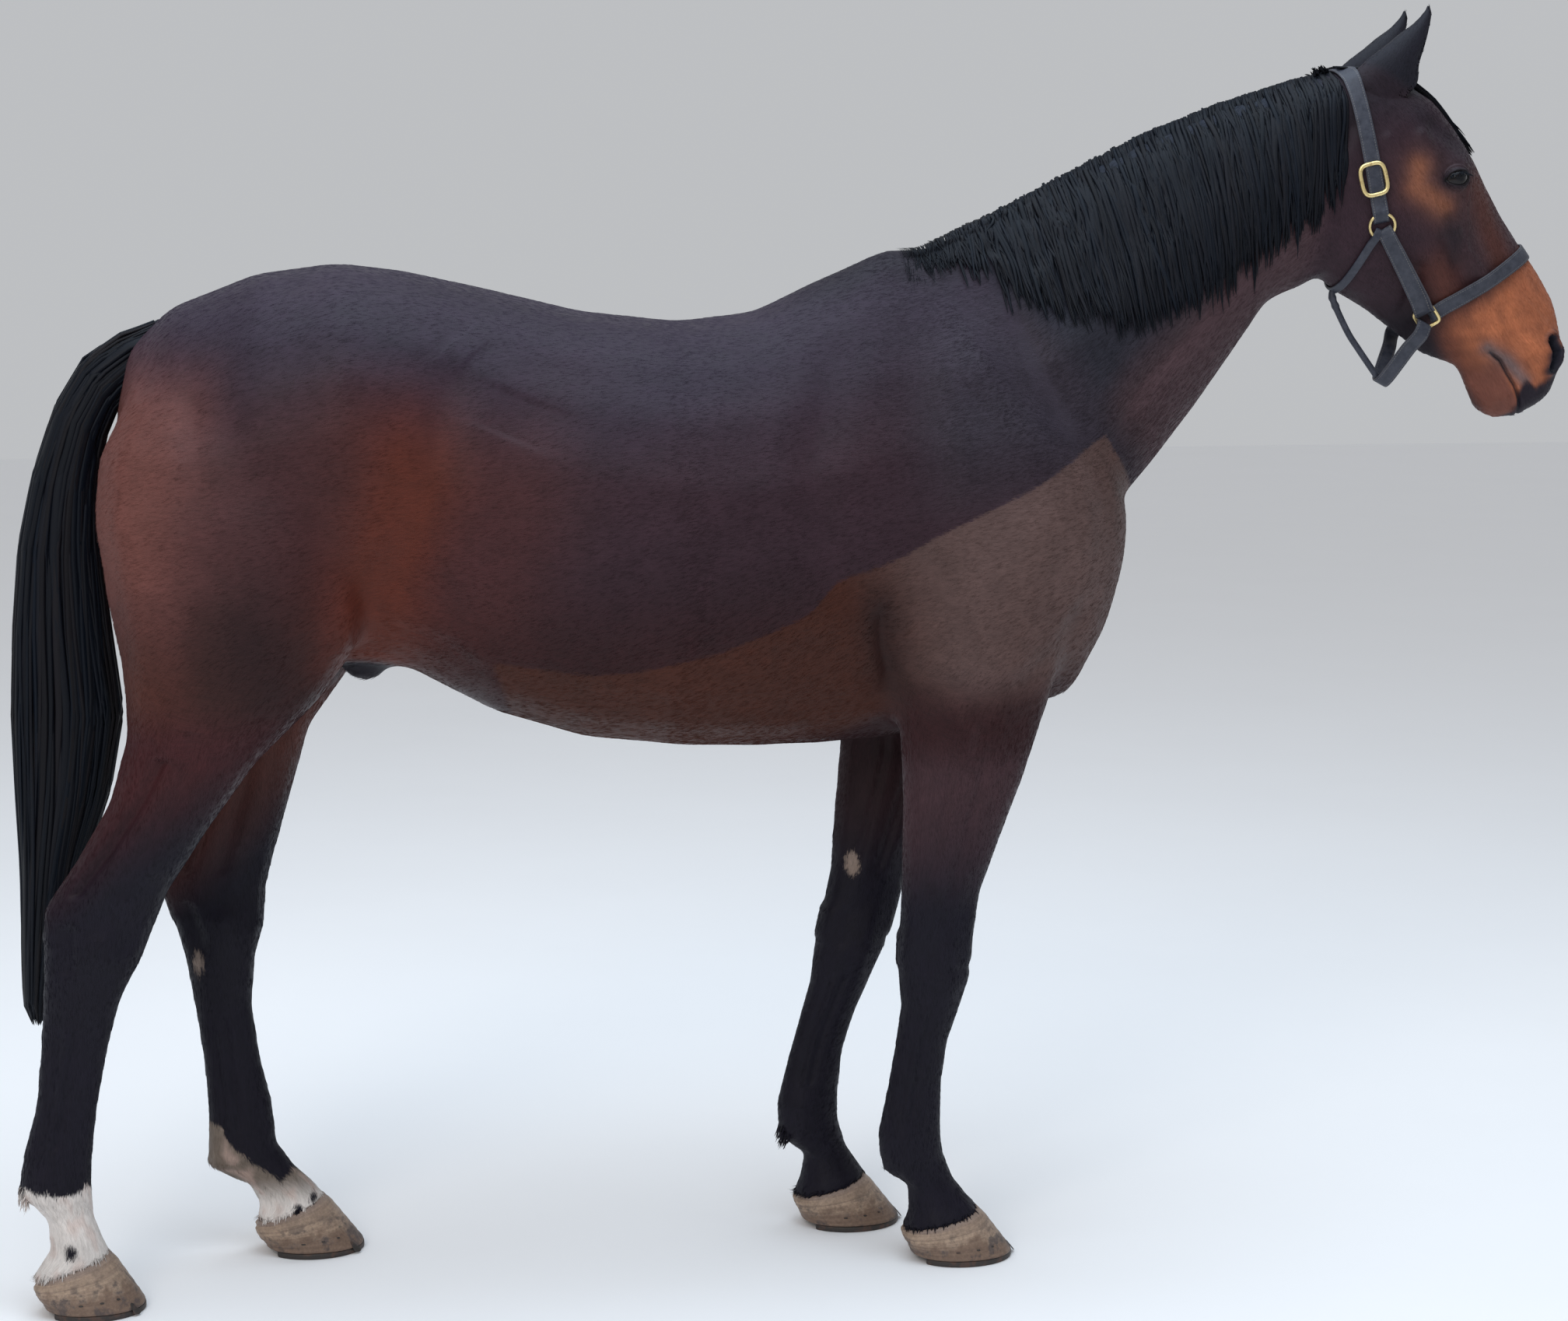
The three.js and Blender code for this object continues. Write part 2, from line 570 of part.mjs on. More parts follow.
const maneOutline = [[836, 1923], [838, 1748], [822, 1653], [740, 1628], [640, 1573], [540, 1523], [455, 1493],
  [410, 1533], [365, 1518], [330, 1588], [270, 1628], [190, 1603], [190, 1688], [500, 1848], [700, 1918]];
const forelockOutline = [[885, 1938], [905, 1883], [985, 1838], [1078, 1743], [1095, 1758], [1040, 1828],
  [985, 1898]];
const maneTuft = ellipsoid([814, -3, 1883], [24, 9, 17], 0, [8, 6]);
const mane = underHair.add(maneTuft).intersect(prism(maneOutline, -farOut / 10, 8)).subtract(clear);
const forelockHalf = 22;
const forelockPrism = prism(forelockOutline, -forelockHalf, forelockHalf);
addNode('forelock', neckSolid(hairClear + maneThick + 2).intersect(forelockPrism).subtract(neckClear), 'hair');

const tailSections = [
  { lo: [-1000, 1518], hi: [-985, 1438], half: 22 },
  { lo: [-1064, 1488], hi: [-1026, 1410], half: 32 },
  { lo: [-1119, 1448], hi: [-1068, 1374], half: 38 },
  { lo: [-1164, 1376], hi: [-1091, 1320], half: 42 },
  { lo: [-1200, 1274], hi: [-1100, 1250], half: 46 },
  { lo: [-1225, 1166], hi: [-1099, 1158], half: 50 },
  { lo: [-1238, 1038], hi: [-1088, 1038], half: 54 },
  { lo: [-1245, 908], hi: [-1073, 908], half: 55 },
  { lo: [-1243, 788], hi: [-1096, 788], half: 50 },
  { lo: [-1239, 668], hi: [-1140, 668], half: 42 },
  { lo: [-1241, 548], hi: [-1168, 548], half: 34 },
  { lo: [-1241, 455], hi: [-1190, 455], half: 26 },
  { lo: [-1228, 420], hi: [-1206, 420], half: 10 },
];
addNode('tail', solidOf(tube(tailSections, { around: 10, rings: 1 })).subtract(clear), 'hair');

// ---------- headcollar ----------

const strapOver = neckSolid(hairClear + strapThick);
const clearOfStraps = neckSolid(hairClear + strapThick + thinCut);

// Where the straps meet, in the head's own axes.
const meets = { crown: [-30, 4], buckle: [159, -76], ring: [230, -101], square: [403, -102], nose: [416, 134],
  throat: [318, -246], chin: [457, -203] };
const ringRadius = 22;        // brass rings, to the middle of the wire
const ringWire = 3;

// How far out the hair's surface is on one side of the head, at a place in x and z.
function sideOf([x, z], side) {
  const rod = new THREE.BoxGeometry(2, farOut, 2);
  rod.translate(x, side * farOut / 2, z);
  const { vertProperties } = clear.intersect(solidOf(rod)).getMesh();
  return Math.max(...Array.from(vertProperties).filter((_, i) => i % 3 === 1).map((y) => side * y));
}

// The prism over a strap that runs between two meeting places, less the lengths left off its ends.
function strapPrism(from, to, wide, offStart, offEnd, fromY = -farOut / 10, toY = farOut / 10) {
  const [a, b] = [headToWorld(meets[from]), headToWorld(meets[to])];
  const long = Math.hypot(b[0] - a[0], b[1] - a[1]);
  const [dx, dz] = [(b[0] - a[0]) / long, (b[1] - a[1]) / long];
  const corner = (along, across) => [a[0] + dx * along - dz * across, a[1] + dz * along + dx * across];
  const ends = [offStart, long - offEnd];
  const outline = [...ends.map((along) => corner(along, -wide / 2)),
    ...ends.reverse().map((along) => corner(along, wide / 2))];
  return prism(outline, fromY, toY);
}

const strap = (...sizes) => strapOver.intersect(strapPrism(...sizes)).subtract(neckClear);

// A flat band through places in x, y and z, its width lying along one direction.
function band(places, widthWay, wide, thick) {
  const across = new THREE.Vector3(...widthWay).normalize();
  const points = places.map((place) => new THREE.Vector3(...place));
  const positions = points.flatMap((point, i) => {
    const next = points[Math.min(i + 1, points.length - 1)];
    const along = next.clone().sub(points[Math.max(i - 1, 0)]).normalize();
    const out = new THREE.Vector3().crossVectors(along, across).normalize();
    return [[-1, -1], [1, -1], [1, 1], [-1, 1]].flatMap(([w, t]) => point.clone()
      .addScaledVector(across, w * wide / 2).addScaledVector(out, t * thick / 2).toArray());
  });
  return solidOf(closedTube(positions, points.length, 4));
}

// A flat brass frame on the side of the head: an outline with an opening, turned to lie along a strap.
function frameSolid(at, towards, side, [wide, long], bar, thick) {
  const [a, b] = [headToWorld(meets[at]), headToWorld(meets[towards])];
  const rounded = (w, l, r) => new THREE.Shape()
    .absarc(w / 2 - r, l / 2 - r, r, 0, Math.PI / 2)
    .absarc(r - w / 2, l / 2 - r, r, Math.PI / 2, Math.PI)
    .absarc(r - w / 2, r - l / 2, r, Math.PI, 1.5 * Math.PI)
    .absarc(w / 2 - r, r - l / 2, r, 1.5 * Math.PI, 2 * Math.PI);
  const outline = rounded(wide, long, 10);
  outline.holes.push(rounded(wide - 2 * bar, long - 2 * bar, 5));
  const geometry = new THREE.ExtrudeGeometry(outline, { depth: thick, curveSegments: 1, bevelEnabled: false });
  geometry.translate(0, 0, -thick / 2);
  geometry.rotateX(Math.PI / 2);
  geometry.rotateY(Math.PI / 2 - Math.atan2(b[1] - a[1], b[0] - a[0]));
  geometry.translate(a[0], side * (sideOf(a, side) + strapThick + thick), a[1]);
  return solidOf(geometry).subtract(clearOfStraps);
}

function ringSolid(side) {
  const geometry = new THREE.TorusGeometry(ringRadius, ringWire, 5, 12);
  geometry.rotateX(Math.PI / 2);
  const [x, z] = headToWorld(meets.ring);
  geometry.translate(x, side * (sideOf([x, z], side) + strapThick + 1.5 * ringWire), z);
  return solidOf(geometry).subtract(clearOfStraps);
}

// The chin strap hangs in a loop below the jaw, from one square to the other.
const chinDrop = [22, 56, 88, 112, 121];
const chinReach = [66, 42, 27, 14, 0];
const [squareAt, chinAt] = [headToWorld(meets.square), headToWorld(meets.chin)];
const chinLong = Math.hypot(chinAt[0] - squareAt[0], chinAt[1] - squareAt[1]);
const chinWay = [(chinAt[0] - squareAt[0]) / chinLong, (chinAt[1] - squareAt[1]) / chinLong];
const chinPlaces = (side) => chinDrop.map((drop, i) =>
  [squareAt[0] + chinWay[0] * drop, side * chinReach[i], squareAt[1] + chinWay[1] * drop]);
const chinLoop = [...chinPlaces(-1), ...chinPlaces(1).slice(0, -1).reverse()];

const crownRoom = 2;          // mane and ears keep this far off the crown strap
const aroundCrown = neckSolid(hairClear + strapThick + crownRoom)
  .intersect(strapPrism('crown', 'ring', strapWide + 2 * crownRoom, -crownRoom, 0));
addNode('crown_strap', strap('crown', 'ring', strapWide, 0, 10), 'leather');
addNode('mane', mane.subtract(aroundCrown), 'hair');
addNode('noseband', strap('square', 'nose', strapWide, 20, 0), 'leather');
addNode('throat_strap', strap('ring', 'throat', strapThin, 22, 0), 'leather');
const chinBand = band(chinLoop, [chinWay[1], 0, -chinWay[0]], strapWide, strapThick);
addNode('chin_strap', chinBand.subtract(clear), 'leather');
Object.entries(sides).forEach(([name, side]) => {
  const [fromY, toY] = side < 0 ? [-farOut / 10, 0] : [0, farOut / 10];
  addNode(`${name}_ear`, earSolid(side).subtract(clear).subtract(aroundCrown), 'coat');
  addNode(`${name}_cheek_strap`, strap('ring', 'square', strapWide, 22, 20, fromY, toY), 'leather');
  addNode(`${name}_buckle`, frameSolid('buckle', 'ring', side, [46, 56], 7, 5), 'brass');
  addNode(`${name}_square`, frameSolid('square', 'ring', side, [40, 40], 6, 5), 'brass');
  addNode(`${name}_ring`, ringSolid(side), 'brass');
});

// The rounded strap joins the throat strap to the chin strap below the jaw.
const jowlPlaces = [[869, 1519], [876, 1482], [899, 1447], [928, 1420]];
const jowlPath = new THREE.CatmullRomCurve3(jowlPlaces.map(([x, z]) => new THREE.Vector3(x, 0, z)));
const jowlThick = 10;
const jowlRound = new THREE.Shape().absarc(0, 0, jowlThick / 2, 0, 2 * Math.PI);
const jowlSteps = { steps: 7, curveSegments: 3, bevelEnabled: false };
const jowl = new THREE.ExtrudeGeometry(jowlRound, { extrudePath: jowlPath, ...jowlSteps });
addNode('jowl_strap', solidOf(jowl).subtract(clear), 'leather');


const group = new THREE.Group();
nodes.forEach(({ name, solid, look }) => {
  const mesh = new THREE.Mesh(geometryOf(solid), new THREE.MeshStandardMaterial(looks[look]));
  mesh.name = name;
  group.add(mesh);
});
export default group;
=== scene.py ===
import bpy
import numpy as np
from math import cos, pi, radians, sin
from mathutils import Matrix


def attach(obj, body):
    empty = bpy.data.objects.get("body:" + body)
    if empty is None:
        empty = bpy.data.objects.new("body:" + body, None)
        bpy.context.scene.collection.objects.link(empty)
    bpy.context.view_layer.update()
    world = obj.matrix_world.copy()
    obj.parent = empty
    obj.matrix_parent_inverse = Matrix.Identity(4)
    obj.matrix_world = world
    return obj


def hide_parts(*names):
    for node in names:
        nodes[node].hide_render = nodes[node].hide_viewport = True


# A bay riding horse in a leather headcollar, standing still: its skin, coat, hair, hoofs and tack.
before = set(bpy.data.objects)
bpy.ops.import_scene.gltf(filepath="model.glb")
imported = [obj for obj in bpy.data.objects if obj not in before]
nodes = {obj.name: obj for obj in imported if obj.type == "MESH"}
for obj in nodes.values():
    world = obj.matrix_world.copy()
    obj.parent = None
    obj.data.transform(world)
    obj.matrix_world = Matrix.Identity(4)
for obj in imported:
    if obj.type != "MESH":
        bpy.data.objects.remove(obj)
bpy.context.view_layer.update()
rng = np.random.default_rng(11)

print("frame loaded:", len(nodes), "nodes")

# Vertex places and triangles of a mesh.
def meshSurface(mesh):
    places = np.empty(len(mesh.vertices) * 3)
    mesh.vertices.foreach_get("co", places)
    mesh.calc_loop_triangles()
    corners = np.empty(len(mesh.loop_triangles) * 3, np.int32)
    mesh.loop_triangles.foreach_get("vertices", corners)
    return places.reshape(-1, 3), corners.reshape(-1, 3)

# The surface of a CAD node, with its loose corners merged.
def nodeSurface(name):
    places, corners = meshSurface(nodes[name].data)
    merged, which = np.unique(np.round(places, 6), axis=0, return_inverse=True)
    return merged, which.ravel()[corners]

def unit(vectors):
    return vectors / np.maximum(np.linalg.norm(vectors, axis=-1, keepdims=True), 1e-12)

# Normals at the vertices: the sum of the cross products of the triangles around each.
def vertexNormals(places, triangles):
    a, b, c = (places[triangles[:, k]] for k in range(3))
    cross = np.cross(b - a, c - a)
    normals = np.zeros_like(places)
    for k in range(3):
        for axis in range(3):
            normals[:, axis] += np.bincount(triangles[:, k], cross[:, axis], len(places))
    return unit(normals)

# A mesh object from arrays of places and faces, all with the same number of corners.
def makeObject(name, places, faces, smooth=True):
    mesh = bpy.data.meshes.new(name)
    faces = np.ascontiguousarray(faces, np.int32)
    mesh.vertices.add(len(places))
    mesh.vertices.foreach_set("co", np.asarray(places, np.float32).ravel())
    mesh.loops.add(faces.size)
    mesh.loops.foreach_set("vertex_index", faces.ravel())
    mesh.polygons.add(len(faces))
    mesh.polygons.foreach_set("loop_start", np.arange(0, faces.size, faces.shape[1], dtype=np.int32))
    mesh.polygons.foreach_set("use_smooth", np.full(len(faces), smooth))
    mesh.update(calc_edges=True)
    piece = bpy.data.objects.new(name, mesh)
    bpy.context.scene.collection.objects.link(piece)
    return piece

# A finished piece: it rides on the root, has its slot, and stands for the CAD nodes it replaces.
def placePiece(piece, material, replaced=()):
    piece.data.materials.clear()
    piece.data.materials.append(material)
    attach(piece, "root")
    if replaced:
        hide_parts(*replaced)
    return piece

def addColours(piece, name, colours):
    layer = piece.data.color_attributes.new(name, "FLOAT_COLOR", "POINT")
    full = np.ones((len(colours), 4), np.float32)
    full[:, :3] = colours
    layer.data.foreach_set("color", full.ravel())

def addValues(piece, name, values):
    layer = piece.data.attributes.new(name, "FLOAT", "POINT")
    layer.data.foreach_set("value", np.asarray(values, np.float32))

# UV places for each face corner, from places for each vertex or for each corner.
def addMap(piece, name, places):
    corners = np.empty(len(piece.data.loops), np.int32)
    piece.data.loops.foreach_get("vertex_index", corners)
    layer = piece.data.uv_layers.new(name=name)
    perCorner = places if len(places) == len(corners) else places[corners]
    layer.data.foreach_set("uv", np.asarray(perCorner, np.float32).ravel())

# The surface of a piece after one modifier. The piece itself is used up.
def modified(piece, kind, **settings):
    modifier = piece.modifiers.new(kind, kind)
    for key, value in settings.items():
        setattr(modifier, key, value)
    surface = meshSurface(piece.evaluated_get(bpy.context.evaluated_depsgraph_get()).to_mesh())
    bpy.data.objects.remove(piece)
    return surface

# For smoothing: each vertex's neighbours in one list, sorted by vertex, with where each list starts.
def neighbourLists(count, triangles):
    pairs = np.concatenate([triangles[:, [0, 1]], triangles[:, [1, 2]], triangles[:, [2, 0]]])
    pairs = np.concatenate([pairs, pairs[:, ::-1]])
    keys = np.unique(pairs[:, 0].astype(np.int64) * count + pairs[:, 1])
    owner, other = keys // count, keys % count
    starts = np.searchsorted(owner, np.arange(count))
    return other, starts, np.diff(np.append(starts, len(other)))[:, None]

# Moves each value towards its neighbours' mean by its share, several times.
def relaxed(values, lists, share, rounds):
    other, starts, counts = lists
    for _ in range(rounds):
        mean = np.add.reduceat(values[other], starts, axis=0) / counts
        values = values + share * (mean - values)
    return values

# Triangles whose three corners are all marked become four, and their neighbours are split to match.
def refined(places, triangles, marked):
    count = len(places)
    sides = np.stack([triangles[:, [0, 1]], triangles[:, [1, 2]], triangles[:, [2, 0]]], 1)
    low, high = sides.min(2), sides.max(2)
    split = marked[low] & marked[high]
    keys = low.astype(np.int64) * count + high
    found, which = np.unique(keys[split], return_inverse=True)
    middle = np.full(split.shape, -1)
    middle[split] = count + which.ravel()
    added = (places[found // count] + places[found % count]) / 2
    number = split.sum(1)
    kept = triangles[number == 0]
    a, b, c = triangles[number == 3].T
    ab, bc, ca = middle[number == 3].T
    four = [np.stack(corners, 1) for corners in ((a, ab, ca), (ab, b, bc), (ca, bc, c), (ab, bc, ca))]
    one = number == 1
    edge = split[one].argmax(1)
    row = np.arange(one.sum())
    corners = triangles[one]
    start, end, far = (corners[row, (edge + k) % 3] for k in range(3))
    mid = middle[one][row, edge]
    two = [np.stack([start, mid, far], 1), np.stack([mid, end, far], 1)]
    return np.concatenate([places, added]), np.concatenate([kept, *four, *two])

# A closed surface over a grid of places: each row is a ring, and the end rows are capped or joined.
def closedGrid(grid, joined=False):
    rows, around, _ = grid.shape
    row = np.arange(rows if joined else rows - 1)[:, None]
    k = np.arange(around)[None]
    after, nextRow = (k + 1) % around, (row + 1) % rows
    a, b, c, d = row * around + k, row * around + after, nextRow * around + k, nextRow * around + after
    faces = np.concatenate([np.stack(corners, -1).reshape(-1, 3) for corners in ((a, b, d), (a, d, c))])
    places = grid.reshape(-1, 3)
    if not joined:
        count, last = len(places), (rows - 1) * around
        places = np.concatenate([places, grid[[0, -1]].mean(1)])
        caps = [np.stack([after[0], k[0], np.full(around, count)], 1),
                np.stack([last + k[0], last + after[0], np.full(around, count + 1)], 1)]
        faces = np.concatenate([faces, *caps])
    corners = places[faces]
    inside = (corners[:, 0] * np.cross(corners[:, 1], corners[:, 2])).sum() < 0
    return places, faces[:, ::-1] if inside else faces

poll = np.array([0.855, 0, 1.893])          # top of the head
headFall = radians(56.4)                    # slope of the face
headCut = {"at": (0.81, 1.726), "turn": radians(172.4 - 180)}
neckCut = {"at": (0.36, 1.439), "turn": radians(37.5)}
legNames = ("right_hind", "left_hind", "right_fore", "left_fore")
legSide = {"right_hind": -1, "left_hind": 1, "right_fore": -1, "left_fore": 1}

def smooth(low, high, value):
    t = np.clip((value - low) / (high - low), 0, 1)
    return t * t * (3 - 2 * t)

def bell(distance, width):
    return np.exp(-(distance / width) ** 2)

def past(places, cut):
    return (places[:, 0] - cut["at"][0]) * cos(cut["turn"]) + (places[:,
        2] - cut["at"][1]) * sin(cut["turn"])

# The head's own axes: down from the poll, out towards the face, and across.
def headAxes(places):
    x, z = places[:, 0] - poll[0], places[:, 2] - poll[2]
    return x * cos(headFall) - z * sin(headFall), x * sin(headFall) + z * cos(headFall), places[:, 1]

def onHead(down, out, across):
    down, out = np.asarray(down, float), np.asarray(out, float)
    return np.stack([poll[0] + down * cos(headFall) + out * sin(headFall),
                     np.broadcast_to(np.asarray(across, float), np.broadcast(down, out).shape),
                     poll[2] - down * sin(headFall) + out * cos(headFall)], -1)

# Distance from each place to a line through points, in the plane of two chosen axes, and how far along.
def lineDistance(first, second, line):
    best = np.full(len(first), 9.0)
    along = np.zeros(len(first))
    line = np.asarray(line, float)
    lengths = np.linalg.norm(np.diff(line, axis=0), axis=1)
    total = lengths.sum()
    before = 0
    for (ax, ay), (bx, by), length in zip(line[:-1], line[1:], lengths):
        t = np.clip(((first - ax) * (bx - ax) + (second - ay) * (by - ay)) / length ** 2, 0, 1)
        distance = np.hypot(first - ax - t * (bx - ax), second - ay - t * (by - ay))
        nearer = distance < best
        best = np.where(nearer, distance, best)
        along = np.where(nearer, (before + t * length) / total, along)
        before += length
    return best, along

# Height above a line through points given from low x to high x: positive above it.
def aboveLine(x, z, line):
    xs, zs = zip(*sorted(line))
    return z - np.interp(x, xs, zs)

skinSettings = {
    "voxel": 0.0052,        # grid of the first joined surface
    "cutCover": 0.0004,     # nodes grow by this, which closes the thin cuts between them
    "rounds": 46,           # smoothing rounds
    "headLimit": 96000,     # triangles at the end, in the head and in the rest
    "bodyLimit": 100000,
}

legLengths = ("upper", "cannon", "pastern")
fleshNodes = ["trunk", "neck", "head", "right_ear", "left_ear"]
fleshNodes += [f"{leg}_{length}" for leg in legNames for length in legLengths]

def joinedFlesh():
    allPlaces, allTriangles, count = [], [], 0
    for name in [*[name for name in fleshNodes if not name.endswith("ear")], "right_eye", "left_eye"]:
        places, triangles = nodeSurface(name)
        allPlaces.append(places + vertexNormals(places, triangles) * skinSettings["cutCover"])
        allTriangles.append(triangles + count)
        count += len(places)
    piece = makeObject("joining", np.concatenate(allPlaces), np.concatenate(allTriangles))
    return modified(piece, "REMESH", mode="VOXEL", voxel_size=skinSettings["voxel"], use_smooth_shade=True)

# Back and front edge, middle and half width of a leg at a ladder of levels.
def legLadder(places, leg):
    hind = leg.endswith("hind")
    levels = np.arange(0.045, 0.87 if hind else 0.8, 0.015)
    x, y, z = places.T
    own = (y * legSide[leg] > 0.02) & (z < levels[-1] + 0.015) & (z > levels[0])
    own &= (x < -0.6) if hind else (x > -0.2)
    rung = ((z[own] - levels[0]) / 0.015).astype(int)
    ends = [np.full(len(levels), 9.0), np.full(len(levels), -9.0), np.full(len(levels), 9.0),
            np.full(len(levels), -9.0)]
    for end, pick, value in zip(ends, (np.minimum, np.maximum) * 2, (x[own], x[own], y[own], y[own])):
        pick.at(end, rung, value)
    back, front, low, high = (np.convolve(np.pad(end, 1, "edge"), [.25, .5, .25], "valid") for end in ends)
    return {"levels": levels + 0.0075, "back": back, "front": front,
            "middle": (low + high) / 2, "half": (high - low) / 2}

# A leg's own measures at each place: 0 to 1 from its back to its front, and -1 to 1 from inside to outside.
def legAxes(places, leg):
    ladder = ladders[leg]
    x, y, z = places.T
    back, front, middle, half = (np.interp(z, ladder["levels"], ladder[key])
                                 for key in ("back", "front", "middle", "half"))
    return (x - back) / (front - back), (y - middle) / half * legSide[leg]

def legShare(places, leg):
    x, y, z = places.T
    hind = leg.endswith("hind")
    top = 0.93 if hind else 0.84
    inX = (x < -0.6) if hind else (x > -0.2)
    return inX * (y * legSide[leg] > 0) * smooth(top + 0.03, top - 0.05, z)

flesh, fleshTriangles = joinedFlesh()
ladders = {leg: legLadder(flesh, leg) for leg in legNames}

print("flesh joined:", len(flesh), "points")

# Regions as shares from 0 to 1.
earRoots = {side: np.array([0.905, side * 0.05, 1.868]) for side in (-1, 1)}
earTips = {side: np.array([0.981, side * 0.05, 1.997]) for side in (-1, 1)}

def earShare(places):
    share = np.zeros(len(places))
    for side in (-1, 1):
        axis = earTips[side] - earRoots[side]
        along = ((places - earRoots[side]) @ axis) / (axis @ axis)
        off = np.linalg.norm(places - earRoots[side] - np.clip(along, 0, 1)[:, None] * axis, axis=1)
        share = np.maximum(share, smooth(0.02, 0.16, along) * smooth(0.075, 0.055, off))
    return share

def headShare(places):
    return smooth(-0.03, 0.03, past(places, headCut))

def softness(places):
    x, y, z = places.T
    share = np.full(len(places), 0.8)
    share += (0.14 - share) * smooth(1.0, 0.62, z) * (z < 1.02)
    share += (0.34 - share) * headShare(places)
    sheathNear = np.linalg.norm(places - [-0.71, 0, 0.97], axis=1)
    return share + (0.2 - share) * smooth(0.09, 0.05, sheathNear)

# Smoothed twice, so that the second pass gives back what the first one shrank.
lists = neighbourLists(len(flesh), fleshTriangles)
share = softness(flesh)[:, None]
once = relaxed(flesh, lists, share, skinSettings["rounds"])
flesh = once + relaxed(flesh - once, lists, share, skinSettings["rounds"])

print("flesh smoothed")

# Back and front edges of an ear from its root to its tip, and half its width.
earSections = [((0.838, 1.872), (0.95, 1.824), 0.026), ((0.884, 1.91), (0.97, 1.861), 0.027),
               ((0.911, 1.93), (0.969, 1.893), 0.025), ((0.932, 1.947), (0.975, 1.919), 0.021),
               ((0.957, 1.965), (0.981, 1.948), 0.014), ((0.973, 1.982), (0.985, 1.976), 0.007),
               ((0.978, 1.9915), (0.982, 1.9905), 0.0022)]

earSettings = {"side": 0.05, "rows": 70, "outer": 46, "inner": 38, "forward": 0.25, "deep": 0.85,
               "broad": 0.84}

# A smooth path through places, each stretch bent by the places before and after it.
def smoothPath(places, rows):
    places = np.asarray(places, float)
    padded = np.concatenate([2 * places[:1] - places[1:2], places, 2 * places[-1:] - places[-2:-1]])
    at = np.linspace(0, len(places) - 1.0001, rows)
    k, t = at.astype(int), (at - at.astype(int))[:, None]
    a, b, c, d = (padded[k + step] for step in range(4))
    return 0.5 * (2 * b + (c - a) * t + (2 * a - 5 * b + 4 * c - d) * t ** 2
                  + (3 * b - a - 3 * c + d) * t ** 3)

# An ear: a crescent carried up the sections, from an oval with a second oval in front of it taken out.
def earGrid(side):
    own = earSettings
    low, high, half = (smoothPath([np.atleast_1d(section[k]) for section in earSections], own["rows"])
                       for k in range(3))
    f, p, q = own["forward"], own["deep"], own["broad"]
    meet = (-f * p + np.sqrt((f * p) ** 2 - (p * p - q * q) * (f * f + q * q - 1))) / (p * p - q * q)
    horn = np.arctan2(q * np.sin(np.arccos(meet)), f + p * meet)
    outer = np.linspace(horn, 2 * pi - horn, own["outer"])
    inner = np.linspace(2 * pi - np.arccos(meet), np.arccos(meet), own["inner"])[1:-1]
    ahead = np.concatenate([np.cos(outer), f + p * np.cos(inner)])
    beside = np.concatenate([np.sin(outer), q * np.sin(inner)])
    middle, reach = (low + high) / 2, (high - low) / 2
    flat = middle[:, None] + reach[:, None] * ahead[None, :, None]
    y = side * own["side"] + half * beside[None]
    return np.stack([flat[..., 0], y, flat[..., 1]], -1)

# The flesh with both ears joined on.
def withEars(places, triangles):
    for side in (-1, 1):
        body, ear = makeObject("body", places, triangles), makeObject("ear", *closedGrid(earGrid(side)))
        places, triangles = modified(body, "BOOLEAN", operation="UNION", solver="MANIFOLD", object=ear)
        bpy.data.objects.remove(ear)
    return places, triangles

# Finer over the head, and finest round the eyes, nostrils and mouth.
eyeAt = {side: onHead(0.233, 0.039, side * 0.087) for side in (-1, 1)}
nostrilAt = {side: onHead(0.578, 0.052, side * 0.045) for side in (-1, 1)}

def nearFeatures(places):
    down, out, _ = headAxes(places)
    marked = (down > 0.5) & (out < -0.01) & (out > -0.065)
    for side in (-1, 1):
        marked |= np.linalg.norm(places - eyeAt[side], axis=1) < 0.04
        marked |= np.linalg.norm(places - nostrilAt[side], axis=1) < 0.036
    return marked

flesh, fleshTriangles = refined(flesh, fleshTriangles, headShare(flesh) > 0.5)
flesh, fleshTriangles = refined(flesh, fleshTriangles, nearFeatures(flesh))
flesh, fleshTriangles = withEars(flesh, fleshTriangles)
lists = neighbourLists(len(flesh), fleshTriangles)
flesh = relaxed(flesh, lists, 0.5 * headShare(flesh)[:, None] * (1 - 0.95 * earShare(flesh))[:, None], 5)

print("skin refined:", len(flesh), "points")

